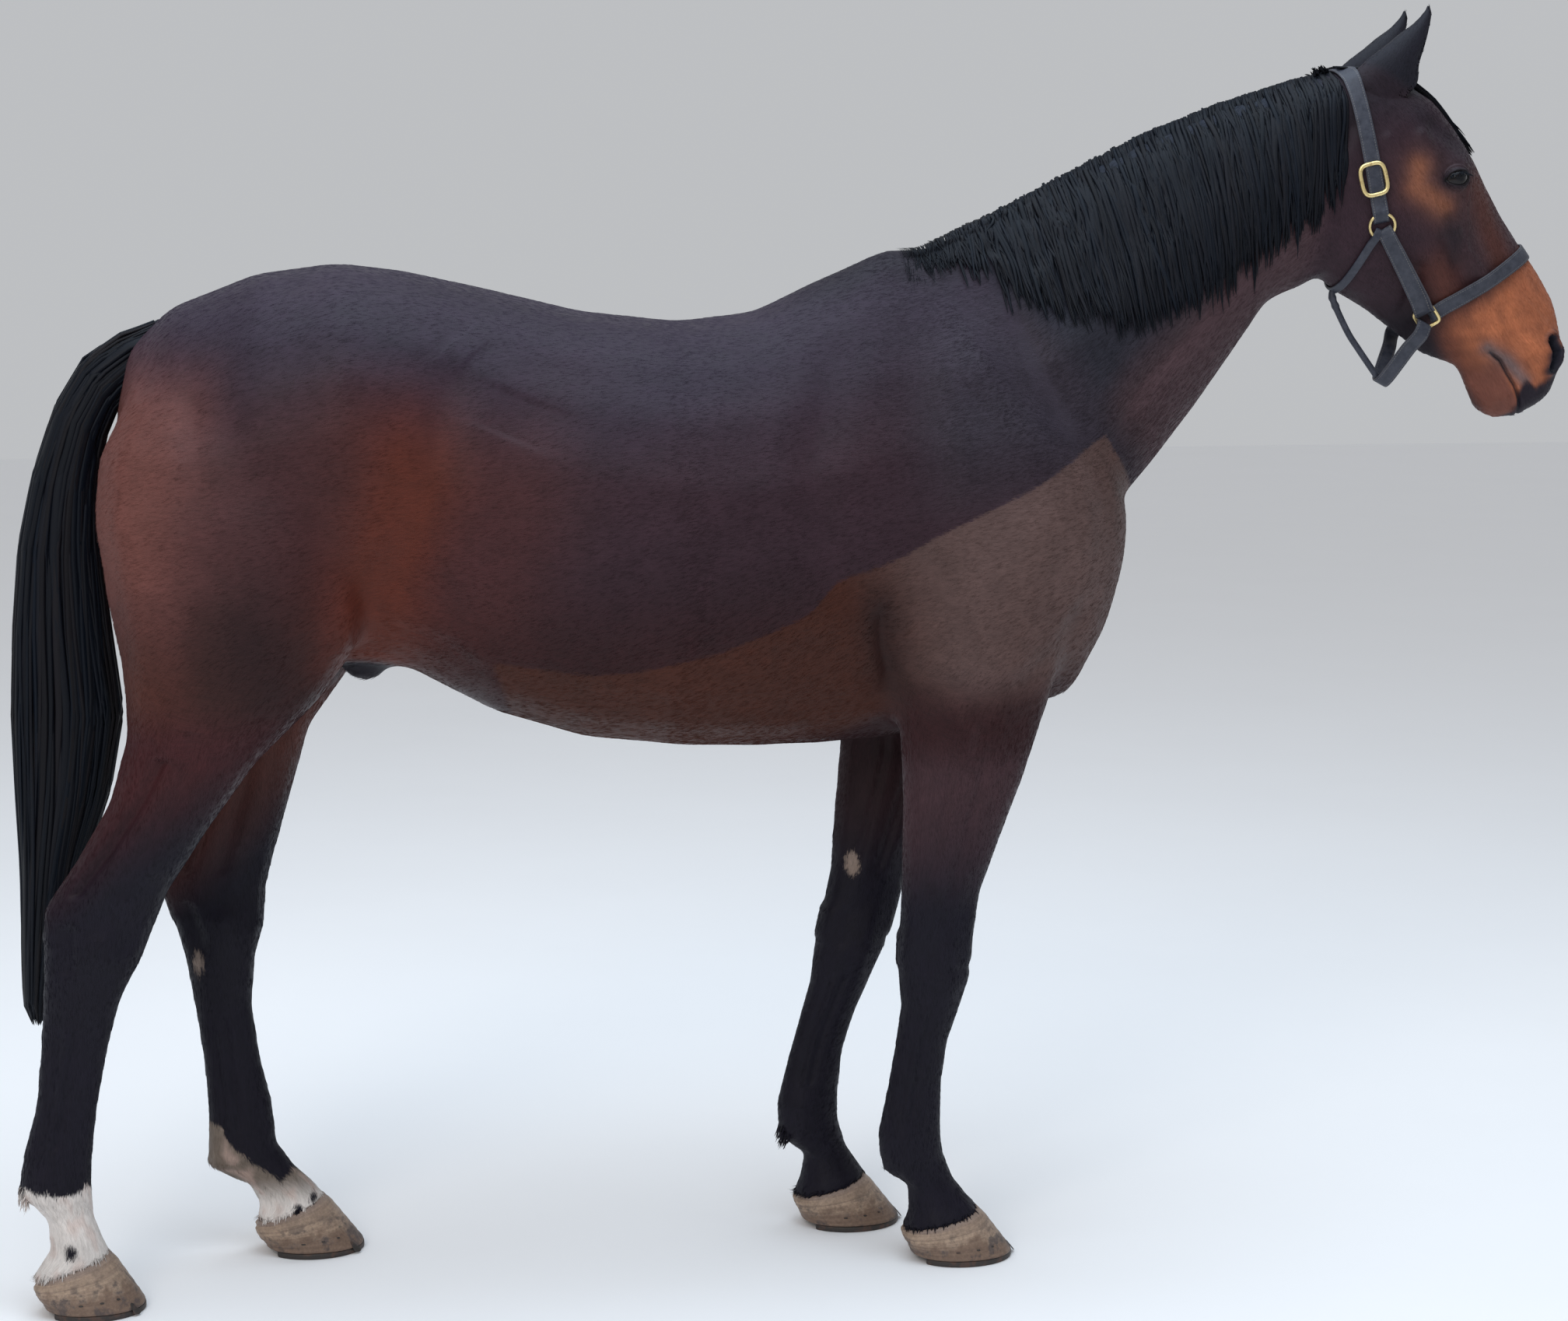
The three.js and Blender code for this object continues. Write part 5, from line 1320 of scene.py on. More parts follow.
def bareness(places):
    down, out, across = headAxes(places)
    bare = np.zeros(len(places))
    for side in (-1, 1):
        away, along, upward, outward = eyeAxes(places, side)
        opened = eyeOpening(away @ along, away @ upward)
        near = (np.linalg.norm(away, axis=1) < 0.032) & (away @ outward > 0)
        bare = np.maximum(bare, near * smooth(-0.0045, -0.003, opened))
    line, _ = lineDistance(down, out, nostrilLine)
    bare = np.maximum(bare, headShare(places) * smooth(0.014, 0.01, line) * (np.abs(across) > 0.012))
    line, _ = lineDistance(down, out, mouthLine)
    return np.maximum(bare, headShare(places) * smooth(0.006, 0.004, line))

# Height over the nearest hoof's coronet.
def overHoof(places):
    height = np.full(len(places), 9.0)
    for leg, hoof in hoofs.items():
        own = legShare(places, leg) > 0.5
        (frontX, frontZ), (backX, backZ) = hoof["front"], hoof["back"]
        level = frontZ + (places[:, 0] - frontX) * (frontZ - backZ) / (frontX - backX)
        height[own] = (places[:, 2] - level)[own]
    return height

def growCoat():
    for name, count, length, wide, lift, density in coatPatches:
        roots, rootNormals, colours = scatterRoots(count, density)
        kept = bareness(roots) < 0.5
        roots, rootNormals, colours = roots[kept], rootNormals[kept], colours[kept]
        count = len(roots)
        ways = hairWay(roots, rootNormals)
        ways = unit(ways + 0.1 * rng.normal(size=(count, 3)))
        ways = unit(ways - rootNormals * (ways * rootNormals).sum(1, keepdims=True))
        size = rng.uniform(0.7, 1.3, count) * (1 + 0.6 * smooth(0.012, 0.0, overHoof(roots)))
        makeTufts(name, roots, rootNormals, colours, ways, length * size, wide * size,
                  lift * rng.uniform(0.5, 1.3, count))

# One piece from several closed surfaces, with a map given at each vertex.
def makeJoined(name, surfaces, mapName, maps, material, replaced=()):
    counts = np.cumsum([0] + [len(places) for places, _ in surfaces])
    places = np.concatenate([places for places, _ in surfaces])
    faces = np.concatenate([faces + start for (_, faces), start in zip(surfaces, counts)])
    piece = makeObject(name, places, faces)
    addMap(piece, mapName, np.concatenate(maps))
    return placePiece(piece, material, replaced)

def withCaps(flat):
    return np.concatenate([flat.reshape(-1, 2), flat[0, :1], flat[-1, :1]])

# Toe and heel on the ground, the coronet's front and back in x and z, the middle and half the width.
hoofs = {leg: dict(zip(("toe", "heel", "front", "back", "y", "half"), row)) for leg, row in {
    "right_hind": (-1.063, -1.214, (-1.112, 0.09), (-1.231, 0.054), -0.114, 0.062),
    "left_hind": (-0.724, -0.88, (-0.783, 0.089), (-0.901, 0.05), 0.114, 0.062),
    "right_fore": (0.306, 0.142, (0.254, 0.08), (0.127, 0.05), -0.099, 0.066),
    "left_fore": (0.162, -0.001, (0.107, 0.082), (-0.015, 0.05), 0.099, 0.066)}.items()}

hoofSettings = {"rows": 44, "around": 120, "rings": 5, "ringHeight": 0.00028, "bulb": 0.0045, "cleft": 0.009,
                "narrowing": 0.008}

shoeSettings = {"thick": 0.01, "web": 0.023, "turn": 148, "fuller": 0.003, "around": 28, "rows": 90}

# Places on a hoof's wall: up it from 0 at the ground to 1 at the coronet, and turned from the toe.
def wallPlace(hoof, up, turn, out=0.0):
    c, s = np.cos(turn), np.sin(turn)
    reach, side = squared(c, 0.91), squared(s, 0.91)
    (frontX, frontZ), (backX, backZ) = hoof["front"], hoof["back"]
    lowX = (hoof["toe"] + hoof["heel"]) / 2 + (hoof["toe"] - hoof["heel"]) / 2 * reach
    highX = (frontX + backX) / 2 + (frontX - backX) / 2 * reach
    highZ = (frontZ + backZ) / 2 + (frontZ - backZ) / 2 * reach
    base = shoeSettings["thick"] + 0.0003
    half = hoof["half"] - hoofSettings["narrowing"] * up
    x = lowX + (highX - lowX) * up + out * c
    return np.stack(np.broadcast_arrays(x, hoof["y"] + half * side + out * s, base + (highZ - base) * up),
                    -1)

def hoofSurface(hoof, seed):
    own = hoofSettings
    draw = np.random.default_rng(seed)
    up = np.linspace(0, 1, own["rows"])[:, None]
    turn = turns(own["around"])[None]
    phase = draw.uniform(0, 6, 4)
    rings = np.sin(2 * pi * own["rings"] * up ** 0.9 + 0.5 * np.sin(turn + phase[0]) + phase[1])
    rings += 0.5 * np.sin(2 * pi * own["rings"] * 2.3 * up + 0.7 * np.cos(turn + phase[2]) + phase[3])
    behind = smooth(-0.55, -0.92, np.cos(turn))
    cleft = bell(np.sin(turn) * hoof["half"], own["cleft"])
    out = own["ringHeight"] * rings * smooth(0, 0.08, up) * smooth(1, 0.9, up)
    out = out + behind * smooth(0.15, 0.5, up) * smooth(1.0, 0.7,
                                                        up) * (own["bulb"] - 2.2 * own["bulb"] * cleft)
    out = out - (0.003 + 0.0035 * behind) * smooth(0.82, 1.0, up) - 0.0016 * smooth(0.035, 0, up)
    wall = wallPlace(hoof, up, turn, out)
    lowest, highest = wall[0], wall[-1]
    sole = [lowest.mean(0) + (lowest - lowest.mean(0)) * share + [0, 0, rise]
            for share, rise in ((0.05, 0.007), (0.35, 0.006), (0.62, 0.004), (0.82, 0.0006))]
    top = [highest.mean(0) + (highest - highest.mean(0)) * share + [0, 0, rise]
           for share, rise in ((0.93, 0.002), (0.7, 0.003), (0.3, 0.003), (0.05, 0.003))]
    grid = np.concatenate([sole, wall, top])
    around = np.broadcast_to((turn - pi) * hoof["half"], wall.shape[:2])
    high = np.broadcast_to(up, wall.shape[:2])
    flat = np.stack([around, high], -1)
    flat = np.concatenate([flat[[0] * 4], flat, flat[[-1] * 4]])
    return closedGrid(grid), withCaps(flat)

# Horn: bands and fine tubules down the wall, stained low down and in patches, and paler under the coronet.
def hornMaterial():
    look = newMaterial("hoofHorn", {"Specular IOR Level": 0.35})
    place = look.map("wall")
    up = look.node("SeparateXYZ", "Y", Vector=place)
    cloud, fine, grit = look.clouds(40.0, 1.0, 190.0, 1.1)
    bands, fibre = (look.noise(look.node("Mapping", Vector=place, Scale=scale), 1.0, detail)
                    for scale, detail in (((5.0, 12.0, 1.0), 3.0), ((1300.0, 7.0, 1.0), 2.0)))
    low = look.remap(look.add(up, look.spread(cloud, -0.35, 0.35)), 0.55, 0.25, 0.0, 0.65)
    dark = look.times(look.remap(cloud, 0.5, 0.6, 0.0, 0.8), look.remap(up, 0.55, 0.85, 1.0, 0.15))
    colour = look.mix(look.remap(bands, 0.35, 0.65, 0.0, 1.0), tone(128, 108, 94), tone(160, 138, 118))
    colour = look.layers(colour, (low, tone(92, 70, 58)), (dark, tone(70, 62, 62)),
                         (look.remap(up, 0.9, 0.97, 0.0, 0.55), tone(120, 104, 98)))
    height = look.add(look.times(fibre, 0.5), look.times(grit, 0.5))
    return look.finish(look.scaled(colour, look.spread(fibre, 0.94, 1.06), fine),
                       look.spread(cloud, 0.42, 0.66), height, 0.0006)

# Iron with patches of rust, which are duller.
def ironMaterial():
    look = newMaterial("shoeIron")
    cloud, fine, grit = look.clouds(70.0, 0.8, 500.0, 0.6)
    rust = look.remap(cloud, 0.5, 0.62, 0.0, 0.75)
    look.tree.links.new(look.remap(rust, 0.0, 0.7, 0.85, 0.15), look.surface["Metallic"])
    colour = look.scaled(look.mix(rust, tone(74, 70, 68), tone(78, 52, 40)), fine)
    return look.finish(colour, look.spread(grit, 0.42, 0.7), grit, 0.0005)

# A shoe: a flat web carried round from arm to arm, with a groove for the nails in its ground face.
def shoeSurface(hoof):
    own = shoeSettings
    turn = np.radians(np.linspace(-own["turn"], own["turn"], own["rows"]))[:, None]
    loop = turns(own["around"])[None]
    c, s = np.cos(loop), np.sin(loop)
    ends = np.sqrt(np.clip(1 - ((np.abs(turn) - radians(own["turn"] - 8)) / radians(8)).clip(0, 1) ** 2,
                           0.02, 1))
    across = 0.5 + 0.5 * ends * squared(c, 0.3)
    high = 0.5 + 0.5 * squared(s, 0.3)
    groove = bell(across - 0.42, 0.13) * smooth(118, 110, np.degrees(np.abs(turn))) * smooth(14, 22,
        np.degrees(np.abs(turn)))
    high = high + groove * own["fuller"] / own["thick"] * (s < -0.2)
    semi = [(hoof["toe"] - hoof["heel"]) / 2 - across * own["web"],
            hoof["half"] - 0.001 - across * own["web"]]
    middle = (hoof["toe"] + hoof["heel"]) / 2
    return closedGrid(np.stack([middle + semi[0] * np.cos(turn), hoof["y"] + semi[1] * np.sin(turn),
                                high * own["thick"]], -1))

# A small pad on the hoof's wall, such as a clip drawn up from the shoe or the turned end of a nail.
def wallPad(hoof, middle, wide, low, high, thick, point=0.0):
    v = np.linspace(-1, 1, 15)[:, None]
    loop = turns(20)[None]
    narrow = (1 - point * (v + 1) / 2) * tipped(v, 6)
    turn = radians(middle) + np.cos(loop) * narrow * wide / hoof["half"] / 2
    up = low + (high - low) * (v + 1) / 2
    return closedGrid(wallPlace(hoof, up + 0 * loop, turn, thick * (0.3 + np.sin(loop) * narrow)))

def growHoofs():
    horn, iron = hornMaterial(), ironMaterial()
    for index, (leg, hoof) in enumerate(hoofs.items()):
        surface, flat = hoofSurface(hoof, index)
        makeJoined(f"{leg}_hoof_horn", [surface], "wall", [flat], horn, [f"{leg}_hoof"])
        clips = (-38, 38) if leg.endswith("hind") else (0,)
        parts = [shoeSurface(hoof)]
        parts += [wallPad(hoof, turn, 0.015, -0.1, 0.14, 0.0014, 0.6) for turn in clips]
        parts += [wallPad(hoof, side * turn, 0.005, 0.26, 0.3, 0.0009) for side in (-1, 1)
                  for turn in (52, 74, 96)]
        maps = [places[:, :2] for places, _ in parts]
        makeJoined(f"{leg}_shoe_iron", parts, "ground", maps, iron, [f"{leg}_shoe"])
    print("hoofs and shoes in place")

eyeLook = {"pupil": (0.0088, 0.0046), "iris": 0.0172, "cornea": 0.0012, "irisTone": tone(18, 13, 14),
           "whiteTone": tone(28, 22, 21)}

# An eye's tones by the distance from its middle: pupil, iris with rays, dark rim and white.
def eyeMaterial():
    look = newMaterial("eye", {"IOR": 1.33, "Coat Weight": 0.05, "Coat Roughness": 0.03})
    place, size = look.map("iris"), eyeLook["iris"]
    reach = look.vector("LENGTH", place, output="Value")
    inPupil = look.vector("LENGTH", look.vector("DIVIDE", place, (*eyeLook["pupil"], 1.0)), output="Value")
    shade, cloud = look.pattern(mottle, place, 700.0, 1.2)
    rays = look.noise(look.vector("NORMALIZE", place), 16.0, 3.0)
    iris = look.scaled(eyeLook["irisTone"], look.spread(rays, 0.65, 1.35))
    colour = look.mix(look.remap(reach, size - 0.0012, size + 0.0004, 0.0, 1.0), iris, tone(22, 16, 14))
    rim = look.remap(reach, size + 0.0008, size + 0.0035, 0.0, 1.0)
    colour = look.layers(colour, (rim, look.scaled(eyeLook["whiteTone"], shade)),
                         (look.remap(inPupil, 0.94, 1.06, 1.0, 0.0), tone(10, 11, 16)))
    return look.finish(colour, look.spread(cloud, 0.05, 0.09), cloud, 0.00003, 0.2)

# An eyeball: a sphere about the outward way, with the cornea standing a little out of it.
def growEyes():
    look = eyeMaterial()
    fall = np.linspace(0.02, pi - 0.02, 60)[:, None]
    turn = turns(72)[None]
    reach = 0.0206 + eyeLook["cornea"] * smooth(0.75, 0.15, fall)
    for side, name in ((-1, "right_eye"), (1, "left_eye")):
        _, along, upward, outward = eyeAxes(eyeAt[side][None], side)
        flat = np.stack([fall * np.cos(turn), fall * np.sin(turn)], -1) * eyeSettings["radius"]
        ways = np.sin(fall) * np.cos(turn)
        grid = (ways[..., None] * along + (np.sin(fall) * np.sin(turn))[..., None] * upward
                + (np.cos(fall) + 0 * turn)[..., None] * outward)
        grid = eyeAt[side] + grid * (reach + 0 * turn)[..., None]
        makeJoined(f"{name}_ball", [closedGrid(grid)], "iris", [withCaps(flat)], look, [name])
    growLashes()
    print("eyes in place")

def growLashes():
    count, steps = 90, 6
    t = np.linspace(0, 1, steps)[None]
    for side, name in ((-1, "right_lashes"), (1, "left_lashes")):
        _, along, upward, outward = eyeAxes(eyeAt[side][None], side)
        a = rng.uniform(-0.8, 0.92, (count, 1)) * eyeSettings["half"]
        span = np.clip(1 - (a / eyeSettings["half"]) ** 2, 0, 1)
        b = eyeSettings["above"] * span ** 0.75 + 0.001
        c = np.sqrt(np.maximum(0.0236 ** 2 - a ** 2 - b ** 2, 1e-6))
        long = rng.uniform(0.006, 0.012, (count, 1)) * (0.5 + 0.5 * span)
        out = long * (0.6 * t)
        fan = 0.35 * a + rng.normal(0, 0.0012, (count, 1))
        drop = -long * (0.75 * t ** 1.2)
        places = [(a + fan * t), (b + drop), (c - 0.0008 + out)]
        paths = eyeAt[side] + sum(place[..., None] * way for place,
                                  way in zip(places, (along, upward, outward)))
        flatWay = np.broadcast_to(along, paths.shape)
        wide = 0.0003 * tipped(t, 2) + 0 * a
        makeLocks(name, paths, flatWay, wide, wide * 0.8, np.zeros(count), [], around=4)

meets = {"crown": (-0.03, 0.004), "buckle": (0.159, -0.076), "ring": (0.23, -0.101),
         "square": (0.403, -0.102),
         "nose": (0.416, 0.134), "throat": (0.318, -0.246), "chin": (0.457, -0.203)}

strapSettings = {
    "wide": 0.025, "thin": 0.013, "half": 0.002,
    "off": 0.0034,          # from the skin to the middle of the leather
    "folded": 0.0027,       # half thickness where an end is turned back over itself
    "fold": 0.03,          # how far an end is turned back
    "round": 0.004,        # half thickness round a ring's wire
    "lift": 0.0038,         # and how much further out it lies there
}

def meetPlace(name):
    return onHead(*meets[name], 0.0)[[0, 2]]

def apart(first, second):
    return np.linalg.norm(meetPlace(first) - meetPlace(second))

# The tight loop round the head in the plane through two meeting places: the hull of the skin's points near
# the plane, from its reach h in each direction, as h along the direction plus its slope across it.
def tightLoop(start, way, offset, low, high, far):
    flat = skinPlaces[:, [0, 2]] - start
    u, off = flat @ way, flat @ np.array([-way[1], way[0]])
    near = (np.abs(off - offset) < 0.0035) & (u > low) & (u < high) & (headShare(skinPlaces) > far)
    near &= earShare(skinPlaces) < 0.02
    turn = turns(360)
    ways = np.stack([np.cos(turn), np.sin(turn)], 1)
    reach = (np.stack([u[near], skinPlaces[near, 1]], 1) @ ways.T).max(0)
    kernel = bell(np.arange(-12, 13), 6.0)
    reach = np.convolve(np.pad(reach, 12, "wrap"), kernel / kernel.sum(), "valid") + strapSettings["off"]
    slope = (np.roll(reach, -1) - np.roll(reach, 1)) / (turn[2] - turn[0])
    return ways * reach[:, None] + np.stack([-ways[:, 1], ways[:, 0]], 1) * slope[:, None]

# Middle places of a strap, as (row, five offsets across, 3), between two distances along its way. It goes
# over the far end (1), over the near end (-1), or stays on one side (0).
def strapGrid(fromName, toName, wide, startAt, endAt, over, side, rows, low=-0.2, high=0.4, far=0.2):
    start = meetPlace(fromName)
    way = meetPlace(toName) - start
    way = way / np.linalg.norm(way)
    rising = -1 if over < 0 else 1
    offsets = np.linspace(-wide / 2, wide / 2, 5)
    lines = []
    for offset in offsets:
        loop = tightLoop(start, way, offset, low, high, far)
        loop = np.roll(loop, -np.argmin(rising * loop[:, 0]), axis=0)
        steps, turnAt = lengthAlong(loop), np.argmax(rising * loop[:, 0])
        if over:
            first = np.interp(rising * startAt, rising * loop[:turnAt, 0], steps[:turnAt])
            last = np.interp(-rising * endAt, -rising * loop[turnAt:, 0], steps[turnAt:])
            at = np.linspace(first, last, rows)
            lines.append(np.stack([np.interp(at, steps, loop[:, k]) for k in (0, 1)], 1))
        else:
            own = loop[:turnAt] if np.sign(loop[turnAt // 2, 1]) == side else loop[turnAt:][::-1]
            u = np.linspace(startAt, endAt, rows)
            lines.append(np.stack([u, np.interp(u, own[:, 0], own[:, 1])], 1))
    grid = np.stack(lines, 1)
    flat = start + grid[..., :1] * way + offsets[None, :, None] * np.array([-way[1], way[0]])
    return np.stack([flat[..., 0], grid[..., 1], flat[..., 1]], -1)

# A strap's surface: its middle sheet given a rounded thickness. ends are the distances from each end to the
# wire that it is folded round.
def strapSurface(grid, wide, ends):
    own = strapSettings
    steps = lengthAlong(grid[:, 2])
    thick, lift = np.full(len(grid), own["half"]), np.zeros(len(grid))
    for fromEnd, wire in zip((steps, steps[-1] - steps), ends):
        thick = np.maximum(thick, own["folded"] * smooth(own["fold"] + 0.001, own["fold"] - 0.001, fromEnd))
        thick = np.maximum(thick, own["round"] * bell(fromEnd - wire, 0.0055))
        lift = np.maximum(lift, own["lift"] * bell(fromEnd - wire, 0.01))
        thick = thick * np.sqrt(np.clip(1 - (1 - fromEnd / 0.0035).clip(0, 1) ** 2, 0.004, 1))
    out = np.cross(unit(np.gradient(grid, axis=0)), unit(grid[:, -1] - grid[:, 0])[:, None])
    out = unit(out) * np.sign((out * (grid - meetCentre)).sum())
    turn = turns(28)
    offset, level = squared(np.cos(turn), 0.3), squared(np.sin(turn), 0.45)
    index = np.clip((offset + 1) * 2, 0, 3.9999)
    left, share = index.astype(int), (index - index.astype(int))[None, :, None]
    places = grid[:, left] * (1 - share) + grid[:, left + 1] * share
    ways = unit(out[:, left] * (1 - share) + out[:, left + 1] * share)
    places = places + ways * (lift[:, None] + level[None] * thick[:, None])[..., None]
    flat = np.stack(np.broadcast_arrays(offset * wide / 2, steps[:, None]), -1)
    return closedGrid(places), withCaps(flat)

meetCentre = onHead(0.25, -0.06, 0.0)

# Leather: a grain of cells, a row of stitches near each edge in its own groove, and worn edges.
def leatherMaterial():
    look = newMaterial("leather", {"Specular IOR Level": 0.38})
    place = look.map("strap")
    across, along = (look.node("SeparateXYZ", part, Vector=place) for part in "XY")
    cloud, fine, grit = look.clouds(90.0, 0.7, 900.0, 0.3)
    cells = look.node("TexVoronoi", Vector=look.place(), Scale=900.0)
    offset = look.math("ABSOLUTE", across)
    row = look.math("ABSOLUTE", look.math("SUBTRACT", offset, 0.0096))
    phase = look.math("FRACT", look.times(along, 240.0))
    stitch = look.times(look.math("LESS_THAN", row, 0.00045), look.math("LESS_THAN", phase, 0.62))
    colour = look.mix(look.remap(cloud, 0.35, 0.65, 0.0, 1.0), tone(38, 41, 52), tone(58, 60, 70))
    colour = look.layers(colour, (look.times(stitch, 0.55), tone(120, 116, 112)),
                         (look.remap(offset, 0.0112, 0.0125, 0.0, 0.5), tone(84, 80, 82)))
    height = look.add(look.add(look.times(cells, 0.25), look.times(stitch, 0.5)), look.times(grit, 0.3))
    height = look.math("SUBTRACT", height, look.times(look.remap(row, 0.0006, 0.0013, 1.0, 0.0), 0.35))
    return look.finish(look.scaled(colour, fine), look.spread(cloud, 0.42, 0.6), height, 0.0006)

def brassMaterial():
    look = newMaterial("brass", {"Metallic": 0.9})
    cloud, fine, grit = look.clouds(120.0, 0.35, 1500.0, 0.2)
    colour = look.mix(look.remap(cloud, 0.52, 0.66, 0.0, 0.6), tone(226, 204, 146), tone(150, 122, 78))
    return look.finish(look.scaled(colour, fine), look.spread(cloud, 0.24, 0.42), grit, 0.0001)

# A frame of round bar along a rounded outline of one half size along its way and one across it, lying on
# the head's side.
def frameSurface(name, side, towards, long, wide, corner, bar, thick, off):
    turn, loop = turns(96), turns(16)
    centre = meetPlace(name)
    way = unit(meetPlace(towards) - centre)
    near = (np.hypot(*(skinPlaces[:, [0, 2]] - centre).T) < 0.022) & (skinPlaces[:, 1] * side > 0.01)
    normal = unit(skinNormals[near].mean(0))
    along = np.array([way[0], 0.0, way[1]])
    along = unit(along - normal * (along @ normal))
    middle = np.array([centre[0], side * (np.array(strapHeights[name]).mean() + off), centre[1]])
    path = middle + (long * squared(np.cos(turn), 2.0 / corner))[:, None] * along
    path = path + (wide * squared(np.sin(turn), 2.0 / corner))[:, None] * np.cross(normal, along)
    outwards = unit(np.cross(unit(np.roll(path, -1, 0) - np.roll(path, 1, 0)), normal))
    grid = path[:, None] + outwards[:, None] * (np.cos(loop) * bar)[:,
        None] + normal * (np.sin(loop) * thick)[:, None]
    return closedGrid(grid, joined=True)

leatherLook = leatherMaterial()
strapHeights = {"ring": [], "square": [], "buckle": []}

# Each metal frame's neighbour along its strap, half sizes, corner power, bar and thickness, and rise.
frames = {"ring": ("square", 0.02, 0.02, 2.0, 0.0024, 0.0024, 0.0026),
          "square": ("ring", 0.0165, 0.0165, 5.0, 0.0028, 0.0024, 0.0026),
          "buckle": ("ring", 0.0245, 0.0195, 3.6, 0.0034, 0.0026, 0.003)}

def sewStrap(name, grid, wide, wires, node):
    surface, flat = strapSurface(grid, wide, wires)
    makeJoined(f"{name}_leather", [surface], "strap", [flat], leatherLook, [node])

def growHeadcollar():
    wide, thin, brass = strapSettings["wide"], strapSettings["thin"], brassMaterial()
    long = apart("ring", "crown") - 0.005
    crown = strapGrid("crown", "ring", wide, long, long, -1, 0, 150, high=0.3, far=-1)
    nose = strapGrid("square", "nose", wide, 0.006, 0.006, 1, 0, 110, low=-0.03)
    throat = strapGrid("ring", "throat", thin, 0.005, 0.005, 1, 0, 120, low=-0.05, high=0.3)
    sewStrap("crown", crown, wide, (0.015, 0.015), "crown_strap")
    sewStrap("noseband", nose, wide, (0.0105, 0.0105), "noseband")
    sewStrap("throat", throat, thin, (0.015, 0.015), "throat_strap")
    for side, name in ((-1, "right"), (1, "left")):
        cheek = strapGrid("ring", "square", wide, 0.005, apart("square", "ring") - 0.006, 0, side, 60)
        sewStrap(f"{name}_cheek", cheek, wide, (0.015, 0.0105), f"{name}_cheek_strap")
    strapHeights["ring"] += [np.abs(crown[[0, -1], 2, 1]).mean(), np.abs(cheek[0, 2, 1])]
    strapHeights["square"] += [np.abs(nose[[0, -1], 2, 1]).mean(), np.abs(cheek[-1, 2, 1])]
    far = np.hypot(*(crown[:, 2][:, [0, 2]] - meetPlace("crown")).T)
    strapHeights["buckle"] += [np.abs(crown[np.argmin(np.abs(far - apart("buckle", "crown"))), 2, 1])]
    for side, name in ((-1, "right"), (1, "left")):
        for kind, sizes in frames.items():
            surface = frameSurface(kind, side, *sizes)
            makeJoined(f"{name}_{kind}_brass", [surface], "cast", [surface[0][:, [0, 2]]], brass,
                       [f"{name}_{kind}"])
    growLowStraps(throat)
    print("headcollar in place")

chinDrops = (0.01, 0.03, 0.056, 0.088, 0.112, 0.121)
chinReaches = (0.061, 0.042, 0.027, 0.014, 0.0)

# The chin strap hangs in a loop below the jaw, and the rounded strap joins it to the throat strap.
def growLowStraps(throat):
    square = meetPlace("square")
    way = unit(meetPlace("chin") - square)
    reaches = [np.array(strapHeights["square"]).mean(), *chinReaches]
    sides = [[(square[0] + way[0] * drop, side * reach, square[1] + way[1] * drop)
              for drop, reach in zip(chinDrops, reaches)] for side in (-1, 1)]
    path = smoothPath([*sides[0], *sides[1][:-1][::-1]], 110)
    offsets = np.linspace(-0.5, 0.5, 5)[:, None] * strapSettings["wide"]
    grid = path[:, None] + offsets * np.array([way[1], 0.0, -way[0]])
    sewStrap("chin", grid, strapSettings["wide"], (0.009, 0.009), "chin_strap")
    lowest = throat[len(throat) // 2, 2]
    end = np.array([square[0] + way[0] * 0.119, 0, square[1] + way[1] * 0.119])
    jowl = smoothPath([lowest + [0.002, 0, 0.004], lowest + [0.002, 0, -0.014], (0.877, 0, 1.479),
                       (0.899, 0, 1.447), end], 70)
    loop, steps = turns(20), lengthAlong(jowl)[:, None]
    sideways = np.array([0.0, 1.0, 0.0])
    ahead = np.cross(unit(np.gradient(jowl, axis=0)), sideways)
    size = 0.0052 * np.sqrt(smooth(0, 0.004, steps) * smooth(0, 0.004, steps[-1] - steps) + 0.01)
    size = size * (1 + 0.25 * bell(steps - 0.016, 0.004) + 0.25 * bell(steps - 0.03, 0.004))
    grid = jowl[:, None] + ahead[:, None] * (np.cos(loop) * size)[...,
        None] + sideways * (np.sin(loop) * size)[..., None]
    flat = np.stack(np.broadcast_arrays(loop * 0.001, steps), -1)
    makeJoined("jowl_leather", [closedGrid(grid)], "strap", [withCaps(flat)], leatherLook,
               ["jowl_strap"])

# Hair over the coronets, behind the fetlocks and standing up behind the crown strap: each lock starts one
# way
# and ends another.
fringeSettings = {"coronet": 2600, "fetlock": 150, "poll": 36, "steps": 6, "wide": 0.0021, "thick": 0.0008,
                  "backs": {"right_hind": 0.188, "left_fore": 0.162}}

def growFringe(name, roots, normals, colours, starts, ends, lengths, fine=1.0):
    own = fringeSettings
    t = np.linspace(0, 1, own["steps"])[None]
    bent = unit(starts[:, None] * (1 - t[..., None]) + ends[:, None] * t[..., None])
    paths = (roots - normals * 0.001)[:, None] + np.cumsum(bent, axis=1) * (lengths / own["steps"])[:, None,
        None]
    paths[..., 0] = np.maximum(paths[..., 0], -1.247)
    taper = tipped(t, 2.2) * rng.uniform(0.6, 1.1, (len(roots), 1))
    flat = np.cross(bent, normals[:, None])
    makeLocks(name, paths, flat, own["wide"] * fine * taper, own["thick"] * fine * taper, colours, [],
              around=4)

